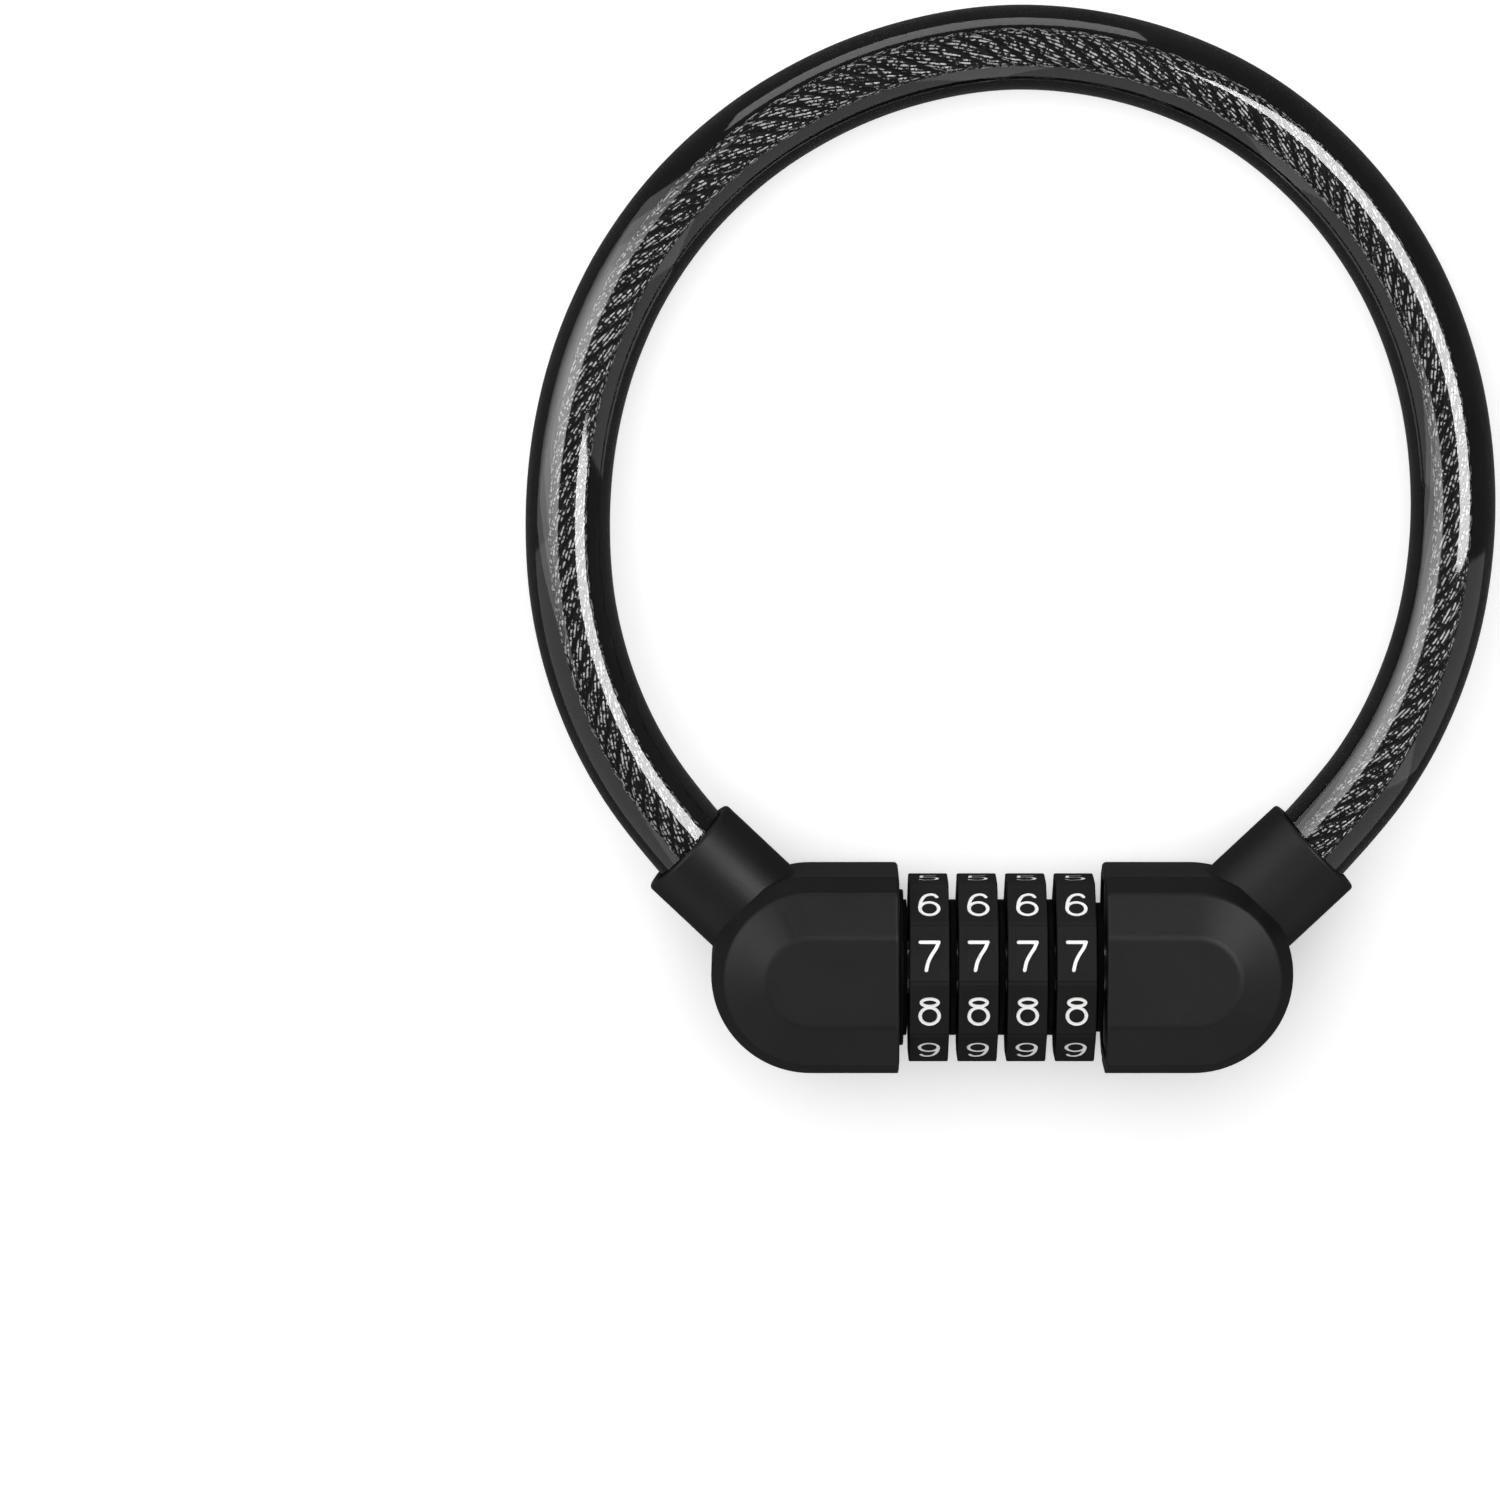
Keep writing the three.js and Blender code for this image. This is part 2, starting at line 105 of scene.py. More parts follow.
CABLE_ROUTE = [
    (-51.1, 26.8, -0.1),
    (-57, 38.2, -0.5),
    (-60.5, 50.5, -1.4),
    (-61.5, 63.3, -2.5),
    (-60.4, 76, -3.8),
    (-57.2, 88, -5),
    (-51.6, 99.6, -6),
    (-43.2, 110.4, -6.9),
    (-31.5, 119.9, -7.5),
    (-16.5, 127, -7.85),
    (0.5, 130.2, -7.95),
    (17.5, 128.4, -7.9),
    (33, 122.2, -7.65),
    (45.8, 112.1, -7.1),
    (55.6, 98.9, -6.1),
    (61.6, 83.8, -4.6),
    (63.8, 67.8, -3),
    (62.6, 52.4, -1.6),
    (58.8, 39.5, -0.7),
    (52.6, 27.9, -0.1),
]

# ---- Camera: eight degrees towards the far end of the loop from straight above ----

TILT = math.radians(8)
VIEW = Vector((0, math.sin(TILT), math.cos(TILT)))
UP = Vector((0, math.cos(TILT), -math.sin(TILT)))
RIGHT = Vector((1, 0, 0))
TARGET = Vector((0, AXIS_Y, AXIS_Z)) - 35.7 * MM * RIGHT + 30.9 * MM * UP
VIEW_WIDTH = 0.2135  # metres across the picture, at the lock
LENS = 200.0
SENSOR = 36.0
CLIP_START, CLIP_END = 0.05, 20.0  # metres


def make_camera():
    """The photograph's camera: a long lens, so that there is almost no perspective."""
    data = bpy.data.cameras.new("camera")
    data.lens = LENS
    data.sensor_width = SENSOR
    data.clip_start = CLIP_START
    data.clip_end = CLIP_END
    camera = bpy.data.objects.new("camera", data)
    bpy.context.scene.collection.objects.link(camera)
    turn = Matrix((RIGHT, UP, VIEW)).transposed().to_4x4()
    distance = VIEW_WIDTH * LENS / SENSOR
    camera.matrix_world = Matrix.Translation(TARGET + VIEW * distance) @ turn
    bpy.context.scene.camera = camera


make_camera()

# ---- Meshes ----


def new_object(name, verts, faces):
    """A mesh object whose faces all look outwards."""
    mesh = bpy.data.meshes.new(name)
    mesh.from_pydata([tuple(map(float, v)) for v in verts], [], [tuple(f) for f in faces])
    bm = bmesh.new()
    bm.from_mesh(mesh)
    bmesh.ops.recalc_face_normals(bm, faces=bm.faces)
    bm.to_mesh(mesh)
    bm.free()
    made = bpy.data.objects.new(name, mesh)
    bpy.context.scene.collection.objects.link(made)
    return made


def grid_faces(rows, columns, round_rows=False, round_columns=True, first=0):
    """Quads of a grid of points, row by row. A round direction closes on itself."""
    faces = []
    for i in range(rows if round_rows else rows - 1):
        a, b = first + i * columns, first + ((i + 1) % rows) * columns
        for j in range(columns if round_columns else columns - 1):
            k = (j + 1) % columns
            faces.append((a + j, a + k, b + k, b + j))
    return faces


def boolean(body, tool, operation):
    """Applies one boolean and removes the tool."""
    modifier = body.modifiers.new("boolean", "BOOLEAN")
    modifier.operation = operation
    modifier.object = tool
    modifier.solver = "MANIFOLD"
    graph = bpy.context.evaluated_depsgraph_get()
    mesh = bpy.data.meshes.new_from_object(body.evaluated_get(graph))
    body.modifiers.clear()
    body.data = mesh
    bpy.data.objects.remove(tool)
    return body


def place(made, body, slot, *stands_for, sharp=32):
    """Shades a finished piece, puts it into the row frame and ties it to its CAD body."""
    mesh = made.data
    mesh.transform(TO_ROW_FRAME)
    mesh.shade_smooth()
    mesh.set_sharp_from_angle(angle=math.radians(sharp))
    mesh.materials.clear()
    mesh.materials.append(MATERIALS[slot])
    weighted = made.modifiers.new("weighted", "WEIGHTED_NORMAL")
    weighted.keep_sharp = True
    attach(made, body)
    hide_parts(*stands_for)


def block(name, low, high, bevel=0.0):
    """A box between two corners, with rounded edges if asked."""
    bm = bmesh.new()
    bmesh.ops.create_cube(bm, size=1)
    size = Vector(high) - Vector(low)
    centre = (Vector(high) + Vector(low)) / 2
    bm.transform(Matrix.Translation(centre) @ Matrix.Diagonal(size.to_4d()))
    if bevel:
        bmesh.ops.bevel(bm, geom=bm.edges, offset=bevel, segments=3, affect="EDGES", profile=0.5)
    mesh = bpy.data.meshes.new(name)
    bm.to_mesh(mesh)
    bm.free()
    made = bpy.data.objects.new(name, mesh)
    bpy.context.scene.collection.objects.link(made)
    return made


def fillet(points, radii, steps=5):
    """An open line with each inner corner rounded by its own radius."""
    out = [np.array(points[0], float)]
    for k in range(1, len(points) - 1):
        p, a, b = (np.array(points[i], float) for i in (k, k - 1, k + 1))
        u, v = (a - p) / np.linalg.norm(a - p), (b - p) / np.linalg.norm(b - p)
        half = math.acos(float(np.clip(u @ v, -1, 1))) / 2
        if radii[k] <= 0:
            out.append(p)
            continue
        middle = (u + v) / np.linalg.norm(u + v)
        centre = p + middle * radii[k] / math.sin(half)
        start = p + u * radii[k] / math.tan(half) - centre
        end = p + v * radii[k] / math.tan(half) - centre
        sweep = math.pi - 2 * half
        for i in range(steps + 1):
            t = i / steps
            from_start = math.sin((1 - t) * sweep) / math.sin(sweep)
            from_end = math.sin(t * sweep) / math.sin(sweep)
            out.append(centre + from_start * start + from_end * end)
    out.append(np.array(points[-1], float))
    return np.array(out)


def outward(line):
    """The normal at each point of a line that runs up the outside of a section."""
    step = np.diff(line, axis=0)
    step /= np.linalg.norm(step, axis=1)[:, None]
    flat = np.stack([step[:, 1], -step[:, 0]], 1)
    both = np.vstack([[1, 0], flat[:-1] + flat[1:], [0, 1]])
    return both / np.linalg.norm(both, axis=1)[:, None]


def polar(radius, angle):
    """A point of a circle round the dial axis, as (y, z)."""
    return np.array([radius * math.cos(angle), radius * math.sin(angle)])


def lathe(name, profile, sides=96):
    """A closed outline of (x, radius) points turned about the dial axis."""
    verts = []
    for k in range(sides):
        angle = 2 * math.pi * k / sides
        verts += [(x, *polar(r, angle)) for x, r in profile]
    return new_object(name, verts, grid_faces(sides, len(profile), round_rows=True))


# ---- The line of the cable ----

SPLINE_SAMPLES = 60


def collar_point(side, distance):
    """A point on a collar's axis. The side is -1 for the left collar and 1 for the right one."""
    x = side * (COLLAR_CENTRE + distance * math.cos(COLLAR_ANGLE))
    return (x, distance * math.sin(COLLAR_ANGLE), 0.0)


def cable_line(start, count):
    """Evenly spaced points on the CAD's centripetal spline, from one collar into the other."""
    inside = [start, (SHEATH_START + COLLAR_END) / 2]
    knots = [collar_point(-1, d) for d in inside] + CABLE_ROUTE
    knots = np.array(knots + [collar_point(1, d) for d in reversed(inside)], float)
    knots = np.vstack([2 * knots[0] - knots[1], knots, 2 * knots[-1] - knots[-2]])
    dense = []
    for p0, p1, p2, p3 in zip(knots, knots[1:], knots[2:], knots[3:]):
        d0, d1, d2 = (np.linalg.norm(b - a) ** 0.5 for a, b in ((p0, p1), (p1, p2), (p2, p3)))
        m1 = ((p1 - p0) / d0 - (p2 - p0) / (d0 + d1) + (p2 - p1) / d1) * d1
        m2 = ((p2 - p1) / d1 - (p3 - p1) / (d1 + d2) + (p3 - p2) / d2) * d1
        for t in np.linspace(0, 1, SPLINE_SAMPLES, endpoint=False):
            dense.append(
                (2 * t**3 - 3 * t**2 + 1) * p1
                + (t**3 - 2 * t**2 + t) * m1
                + (3 * t**2 - 2 * t**3) * p2
                + (t**3 - t**2) * m2
            )
    dense = np.array(dense + [knots[-2]])
    run = np.concatenate([[0], np.cumsum(np.linalg.norm(np.diff(dense, axis=0), axis=1))])
    at = np.linspace(0, run[-1], count)
    return np.stack([np.interp(at, run, dense[:, k]) for k in range(3)], 1), at


def frames_along(line):
    """Tangents, and two directions across them that never twist."""
    tangent = np.gradient(line, axis=0)
    tangent /= np.linalg.norm(tangent, axis=1)[:, None]
    across = [np.array([0.0, 0.0, 1.0])]
    for t in tangent:
        u = across[-1] - (across[-1] @ t) * t
        across.append(u / np.linalg.norm(u))
    across = np.array(across[1:])
    return tangent, across, np.cross(tangent, across)


# ---- Materials ----


class Nodes:
    """A short way to write a node tree."""

    def __init__(self, name):
        self.material = bpy.data.materials.new(name)
        self.material.use_nodes = True
        self.tree = self.material.node_tree
        self.shader = self.tree.nodes["Principled BSDF"]
        self.place = self.add("ShaderNodeTexCoord").outputs["Object"]

    def add(self, kind, settings=(), **inputs):
        node = self.tree.nodes.new(kind)
        for key, value in dict(settings).items():
            setattr(node, key, value)
        for key, value in inputs.items():
            socket = node.inputs[key.replace("_", " ")]
            if isinstance(value, bpy.types.NodeSocket):
                self.tree.links.new(value, socket)
            else:
                socket.default_value = value
        return node

    def noise(self, scale, detail=3.0, roughness=0.55, vector=None):
        inputs = {"Vector": vector or self.place, "Scale": scale, "Detail": detail, "Roughness": roughness}
        return self.add("ShaderNodeTexNoise", **inputs).outputs["Fac"]

    def spread(self, value, low, high, to_low, to_high):
        """Maps a value's range onto another, clamped."""
        node = self.add("ShaderNodeMapRange")
        self.tree.links.new(value, node.inputs["Value"])
        for key, number in zip(("From Min", "From Max", "To Min", "To Max"), (low, high, to_low, to_high)):
            node.inputs[key].default_value = number
        return node.outputs["Result"]

    def ramp(self, value, stops):
        node = self.add("ShaderNodeValToRGB", Fac=value)
        elements = node.color_ramp.elements
        for element, (position, colour) in zip(elements, (stops[0], stops[-1])):
            element.position, element.color = position, (*colour, 1)
        for position, colour in stops[1:-1]:
            elements.new(position).color = (*colour, 1)
        return node.outputs["Color"]

    def math(self, operation, a, b):
        node = self.add("ShaderNodeMath", {"operation": operation})
        for socket, value in zip(node.inputs, (a, b)):
            if isinstance(value, bpy.types.NodeSocket):
                self.tree.links.new(value, socket)
            else:
                socket.default_value = value
        return node.outputs[0]

    def bump(self, height, strength, depth_mm):
        node = self.add("ShaderNodeBump", Height=height, Strength=strength, Distance=depth_mm * MM)
        return node.outputs["Normal"]

    def link(self, **inputs):
        for key, value in inputs.items():
            socket = self.shader.inputs[key.replace("_", " ")]
            if isinstance(value, bpy.types.NodeSocket):
                self.tree.links.new(value, socket)
            else:
                socket.default_value = value
        return self.material


def moulded(name, dark, light, rough, grain_size, grain_depth, edge_wear_and_highlight, shine):
    """Moulded plastic: fine grain, mottled gloss, and handled edges that are smoother and painted paler, part
    wear and part painted highlight.

    The two greys are linear, the grain is in millimetres, and the edge weight is how much paler the edges are
    painted, as wear and as a painted highlight.
    """
    n = Nodes(name)
    grain = n.noise(1 / (grain_size * MM), 4, 0.6)
    mottle = n.noise(1 / (9 * MM), 5, 0.6)
    smudge = n.noise(1 / (28 * MM), 3, 0.5)
    # Edges by pointiness: painted paler in the colour, part handling wear and part painted highlight, and
    # smoother in the gloss.
    edge = n.spread(n.add("ShaderNodeNewGeometry").outputs["Pointiness"], 0.505, 0.56, 0, 1)
    tone = n.math("ADD", n.math("MULTIPLY", mottle, 0.55), n.math("MULTIPLY", grain, 0.45))
    tone = n.math("ADD", tone, n.math("MULTIPLY", edge, edge_wear_and_highlight))
    colour = n.ramp(tone, [(0.25, (dark,) * 3), (0.75, (light,) * 3), (1.0, (3 * light,) * 3)])
    patches = n.spread(smudge, 0.3, 0.7, -0.05, 0.06)
    gloss = n.math("ADD", patches, n.spread(grain, 0.3, 0.7, rough - 0.04, rough + 0.04))
    gloss = n.math("SUBTRACT", gloss, n.math("MULTIPLY", edge, 0.12))
    relief = n.math("ADD", grain, n.math("MULTIPLY", mottle, 0.25))
    normal = n.bump(relief, 0.55, grain_depth)
    return n.link(Base_Color=colour, Roughness=gloss, Normal=normal, IOR=1.5, Specular_IOR_Level=shine)


def metal(name, dark, light, rough, grain_size, stretch=(1, 1, 1), depth=0.01):
    """Metal with fine tool marks, stretched across or along by the scale given."""
    n = Nodes(name)
    lay = n.add("ShaderNodeMapping", Vector=n.place, Scale=stretch).outputs["Vector"]
    marks = n.noise(1 / (grain_size * MM), 4, 0.6, lay)
    stain = n.noise(1 / (5 * MM), 4, 0.6)
    tone = n.math("ADD", n.math("MULTIPLY", marks, 0.5), n.math("MULTIPLY", stain, 0.5))
    colour = n.ramp(tone, [(0.3, dark), (0.7, light)])
    gloss = n.spread(tone, 0.3, 0.7, rough + 0.1, rough - 0.06)
    return n.link(Base_Color=colour, Metallic=1.0, Roughness=gloss, Normal=n.bump(marks, 0.4, depth))


def numeral_paint():
    """White filling, a little dirty and uneven."""
    n = Nodes("numeral_paint")
    fill = n.noise(1 / (0.35 * MM), 4, 0.6)
    chips = n.noise(1 / (1.6 * MM), 5, 0.6)
    paint = [(0.24, (0.45, 0.45, 0.44)), (0.36, (0.86, 0.86, 0.84)), (0.8, (0.93, 0.93, 0.91))]
    colour = n.ramp(chips, paint)
    gloss = n.spread(fill, 0.3, 0.7, 0.42, 0.58)
    return n.link(Base_Color=colour, Roughness=gloss, Normal=n.bump(fill, 0.4, 0.015), IOR=1.48)


def sheath_vinyl():
    """Smoke-tinted clear vinyl: see-through where it is looked at square on, dark at its sides.

    The far wall is opaque and dull, so the rope always stands before black. The gloss is mixed in by
    Fresnel over the near wall, clear and dark parts alike.
    """
    n = Nodes("sheath_vinyl")
    rest = n.add("ShaderNodeAttribute", {"attribute_name": "rest_place"}).outputs["Vector"]
    flow = n.noise(1 / (14 * MM), 4, 0.55, rest)
    dust = n.noise(1 / (0.5 * MM), 4, 0.6, rest)
    facing = n.add("ShaderNodeLayerWeight", Blend=0.5).outputs["Facing"]
    side = n.spread(facing, 0.25, 0.7, 0.0, 1.0)
    far_wall = n.add("ShaderNodeNewGeometry").outputs["Backfacing"]
    side = n.math("MAXIMUM", side, far_wall)
    cloud = n.spread(flow, 0.3, 0.7, 0.08, 0.16)
    alpha = n.math("ADD", cloud, n.math("MULTIPLY", side, n.math("SUBTRACT", 1.0, cloud)))
    colour = n.ramp(flow, [(0.3, (0.006, 0.006, 0.0065)), (0.7, (0.014, 0.014, 0.015))])
    gloss = n.spread(dust, 0.35, 0.75, 0.04, 0.06)
    normal = n.bump(flow, 0.12, 0.1)
    mirror = n.add("ShaderNodeBsdfGlossy", Color=(1, 1, 1, 1), Roughness=gloss, Normal=normal)
    share = n.add("ShaderNodeFresnel", IOR=1.7, Normal=normal)
    body = n.shader.outputs["BSDF"]
    near_share = n.math("MULTIPLY", share.outputs["Fac"], n.math("SUBTRACT", 1.0, far_wall))
    coated = n.add("ShaderNodeMixShader", Fac=near_share)
    n.tree.links.new(body, coated.inputs[1])
    n.tree.links.new(mirror.outputs["BSDF"], coated.inputs[2])
    n.tree.links.new(coated.outputs["Shader"], n.tree.nodes["Material Output"].inputs["Surface"])
    return n.link(Base_Color=colour, Roughness=0.5, Alpha=alpha, Normal=normal, Specular_IOR_Level=0.0)


def sheath_bore():
    """The inner wall of the sheath, nearly clear."""
    n = Nodes("sheath_bore")
    haze = n.noise(1 / (4 * MM), 3, 0.5)
    colour = n.ramp(haze, [(0.3, (0.01, 0.01, 0.01)), (0.7, (0.02, 0.02, 0.02))])
    alpha = n.spread(haze, 0.3, 0.7, 0.01, 0.05)
    return n.link(Base_Color=colour, Roughness=0.3, Alpha=alpha, IOR=1.45)


def wire_rope():
    """Galvanised wires: a painted highlight on the outer wires' crowns, broken by zinc patches, and painted
    shade in the valleys between them; oily patches vary the gloss.
    """
    n = Nodes("wire_rope")
    crown_glint_and_shade = n.add("ShaderNodeAttribute", {"attribute_name": "crown_glint_and_shade"}).outputs["Fac"]
    rest = n.add("ShaderNodeAttribute", {"attribute_name": "rest_place"}).outputs["Vector"]
    zinc = n.noise(1 / (0.62 * MM), 3, 0.6, rest)
    oil = n.noise(1 / (7 * MM), 3, 0.5, rest)
    # Painted highlight where the crown value is high, and painted shade, near black, everywhere else.
    tone = n.math("MULTIPLY", crown_glint_and_shade, n.spread(zinc, 0.47, 0.53, 0.0, 1.0))
    shade_to_glint = [(0.4, (0.002, 0.002, 0.002)), (0.56, (0.12, 0.12, 0.122)), (0.7, (0.97, 0.98, 0.99))]
    colour = n.ramp(tone, shade_to_glint)
    gloss = n.spread(oil, 0.3, 0.7, 0.3, 0.42)
    return n.link(Base_Color=colour, Metallic=0.25, Roughness=gloss, Normal=n.bump(zinc, 0.25, 0.03))


MATERIALS = {
    "shell_plastic": moulded(
        "shell_plastic",
        dark=0.0035,
        light=0.0075,
        rough=0.5,
        grain_size=0.22,
        grain_depth=0.02,
        edge_wear_and_highlight=0.12,
        shine=0.26,
    ),
    "wheel_plastic": moulded(
        "wheel_plastic",
        dark=0.009,
        light=0.015,
        rough=0.62,
        grain_size=0.3,
        grain_depth=0.01,
        edge_wear_and_highlight=0.1,
        shine=0.05,
    ),
    "hub_plastic": moulded(
        "hub_plastic",
        dark=0.0025,
        light=0.005,
        rough=0.6,
        grain_size=0.3,
        grain_depth=0.01,
        edge_wear_and_highlight=0.1,
        shine=0.09,
    ),
    "numeral_paint": numeral_paint(),
    "core_casting": metal(
        "core_casting",
        dark=(0.18, 0.18, 0.175),
        light=(0.38, 0.38, 0.37),
        rough=0.5,
        grain_size=0.4,
        depth=0.04,
    ),
    "lock_steel": metal(
        "lock_steel",
        dark=(0.34, 0.34, 0.33),
        light=(0.62, 0.61, 0.6),
        rough=0.24,
        grain_size=0.12,
        stretch=(6, 1, 1),
    ),
    "spring_steel": metal(
        "spring_steel",
        dark=(0.3, 0.29, 0.27),
        light=(0.52, 0.51, 0.49),
        rough=0.3,
        grain_size=0.12,
        stretch=(1, 6, 1),
    ),
    "wire_rope": wire_rope(),
    "sheath_vinyl": sheath_vinyl(),
}
SHEATH_BORE_MATERIAL = sheath_bore()

# ---- Cable: first of the pieces, because it is a cord ----

SHEATH_STEPS, SHEATH_SIDES, BORE_SIDES = 240, 40, 20
ROPE_STEPS = 415
STRANDS, WIRES, POINTS_PER_WIRE = 6, 10, 4
STRAND_LAY, WIRE_LAY = 20.0, -11.0
GLINT_START, GLINT_RISE = 0.35, 0.3  # painted highlight only on wires on the outside of their strand; the rest is painted shade


def stop_riding(made):
    """Takes a piece off its parent, and drops the weighted normals that the cable's smooth tubes don't need.
    """
    made.modifiers.clear()
    made.parent = None


def remember_rest(made):
    """Keeps each vertex's place at rest in an attribute, for the patterns to be laid on."""
    attribute = made.data.attributes.new("rest_place", "FLOAT_VECTOR", "POINT")
    co = np.zeros(len(made.data.vertices) * 3, np.float32)
    made.data.vertices.foreach_get("co", co)
    attribute.data.foreach_set("vector", co)


def follow_slide(made):
    """Bakes the piece's place into its mesh."""
    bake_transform(made)


def build_sheath():
    """The tube with its bore. It casts no shadow, so that the wires inside it are lit."""
    line, run = cable_line(SHEATH_START, SHEATH_STEPS + 1)
    _, u, v = frames_along(line)
    verts, faces, sizes = [], [], []
    for radius, sides in ((SHEATH_RADIUS, SHEATH_SIDES), (SHEATH_BORE, BORE_SIDES)):
        first = len(verts)
        for p, a, b in zip(line, u, v):
            for k in range(sides):
                angle = 2 * math.pi * k / sides
                verts.append(p + radius * (math.cos(angle) * a + math.sin(angle) * b))
        faces += grid_faces(len(line), sides, first=first)
        sizes.append((first, sides, len(faces)))
    outer, inner = sizes[0], sizes[1]
    ratio = SHEATH_SIDES // BORE_SIDES
    for end in (0, SHEATH_STEPS):
        a, b = outer[0] + end * SHEATH_SIDES, inner[0] + end * BORE_SIDES
        for k in range(BORE_SIDES):
            far = (k + 1) % BORE_SIDES
            ring = [a + (k * ratio + i) % SHEATH_SIDES for i in range(ratio + 1)]
            faces.append((*ring, b + far, b + k))
    made = new_object("cable_sheath_tube", verts, faces)
    place(made, "dial_head", "sheath_vinyl", "cable_sheath", sharp=60)
    stop_riding(made)
    made.data.materials.append(SHEATH_BORE_MATERIAL)
    inside = np.zeros(len(made.data.polygons), np.int32)
    inside[outer[2]:inner[2]] = 1
    made.data.polygons.foreach_set("material_index", inside)
    made.visible_shadow = False
    remember_rest(made)
    follow_slide(made)
    centre = [tuple(TO_ROW_FRAME @ Vector(p)) for p in line]
    return made, centre, float(run[-1]) * MM


def build_rope():
    """Six strands of ten outer wires, laid right-handed round a hidden core."""
    line, run = cable_line(WIRE_START, ROPE_STEPS + 1)
    tangent, u, v = frames_along(line)
    strand_radius = ROPE_RADIUS / 3
    ring_radius = 2 * strand_radius
    part = math.sin(math.pi / WIRES)
    wire_radius = strand_radius * part / (1 + part)
    wire_ring = strand_radius - wire_radius
    columns = WIRES * POINTS_PER_WIRE
    section, wire_glint_profile = [], []
    for k in range(columns):
        angle = 2 * math.pi * k / columns
        off = (k % POINTS_PER_WIRE) / POINTS_PER_WIRE * 2 * math.pi / WIRES - math.pi / WIRES
        bulge = math.sqrt(max(wire_radius**2 - (wire_ring * math.sin(off)) ** 2, 0))
        reach = wire_ring * math.cos(off) + bulge
        section.append((angle, reach))
        # Painted highlight across each wire: full at its crown, none at its edges.
        wire_glint_profile.append(math.sin(math.pi * (k % POINTS_PER_WIRE) / POINTS_PER_WIRE))
    verts, faces, crown_glint_and_shade = [], [], []
    for strand in range(STRANDS):
        first = len(verts)
        turn = 2 * math.pi * (strand / STRANDS + run / STRAND_LAY)
        out = np.cos(turn)[:, None] * u + np.sin(turn)[:, None] * v
        around = -np.sin(turn)[:, None] * u + np.cos(turn)[:, None] * v
        slope = 2 * math.pi * ring_radius / STRAND_LAY
        along = tangent + slope * around
        along /= np.linalg.norm(along, axis=1)[:, None]
        side = np.cross(along, out)
        centre = line + ring_radius * out
        for i in range(len(line)):
            twist = 2 * math.pi * run[i] / WIRE_LAY
            for (angle, reach), height in zip(section, wire_glint_profile):
                a = angle + twist
                verts.append(centre[i] + reach * (math.cos(a) * out[i] + math.sin(a) * side[i]))
                # Painted highlight on the outer wires' crowns; painted shade on the strand's inner side and
                # in the valleys.
                crown_glint_and_shade.append(height * min(max((math.cos(a) - GLINT_START) / GLINT_RISE, 0), 1))
        faces += grid_faces(len(line), columns, first=first)
        faces.append(tuple(range(first, first + columns)))
        faces.append(tuple(range(len(verts) - columns, len(verts))))
    made = new_object("cable_wire_rope", verts, faces)
    place(made, "dial_head", "wire_rope", "cable_core", sharp=80)
    stop_riding(made)
    value = made.data.attributes.new("crown_glint_and_shade", "FLOAT", "POINT")
    value.data.foreach_set("value", np.array(crown_glint_and_shade, np.float32))
    remember_rest(made)
    follow_slide(made)
    return made


rope = build_rope()
sheath, sheath_line, sheath_length = build_sheath()

# ---- Heads ----

RIM, RIM_STEPS = 0.6, 5
LIP, LIP_POINTS = 0.5, 6
MOUTH_DEPTH = 0.35
SEAM_IN, SEAM_UP = 0.12, 0.15
TOP_REACH = 3.0
HEAD_RADII = [0, 0.15, 1.3, 1.2, 2.2, 0]
ARC_STEPS = 48
PAD_GAP, PAD_OVERLAP, PAD_EDGE = 0.05, 0.3, 0.14
AWAY = 90.0


def d_stations(side, face, rim):
    """Where the section of a head stands: in from the inner face, round the end and back."""
    stations = []
    if rim:
        for k in range(RIM_STEPS):
            t = math.pi / 2 * k / RIM_STEPS
            stations.append((face + rim * (1 - math.cos(t)), 0.0, (0.0, 1.0), rim * (1 - math.sin(t))))
    stations.append((face + rim, 0.0, (0.0, 1.0), 0.0))
    flat_end = len(stations)
    for k in range(ARC_STEPS + 1):
        angle = math.pi / 2 - math.pi * k / ARC_STEPS
        stations.append((HEAD_CENTRE, 0.0, (math.cos(angle), math.sin(angle)), 0.0))
    lower = [(x, y, (0.0, -1.0), inset) for x, y, _, inset in reversed(stations[:flat_end])]
    stations += lower
    return [(side * x, y, (side * dx, dy), inset) for x, y, (dx, dy), inset in stations]


def d_solid(name, side, profile, face, rim):
    """A closed D: the section swept round its stations, with a flat top and a flat inner face."""
    normals = outward(profile)
    stations = d_stations(side, face, rim)
    verts = []
    for x, y, (dx, dy), inset in stations:
        for (r, z), (nr, nz) in zip(profile, normals):
            reach = r - inset * nr
            verts.append((x + reach * dx, y + reach * dy, z - inset * nz))
    n, m = len(stations), len(profile)
    faces = grid_faces(n, m, round_columns=False)
    faces.append(tuple(i * m for i in range(n)))
    edge = RIM_STEPS if rim else 0
    for i in range(edge):
        a, b = i * m + m - 1, (i + 1) * m + m - 1
        c, d = (n - 2 - i) * m + m - 1, (n - 1 - i) * m + m - 1
        faces.append((a, b, c, d))
    faces.append(tuple(i * m + m - 1 for i in range(edge, n - edge)))
    faces.append((*range(m), *range((n - 1) * m + m - 1, (n - 1) * m - 1, -1)))
    return new_object(name, verts, faces)


def collar_frame(side):
    """Puts a shape drawn along Y onto a collar's axis."""
    turn = Matrix.Rotation(-side * (math.pi / 2 - COLLAR_ANGLE), 4, "Z")
    return Matrix.Translation((side * COLLAR_CENTRE, 0, 0)) @ turn


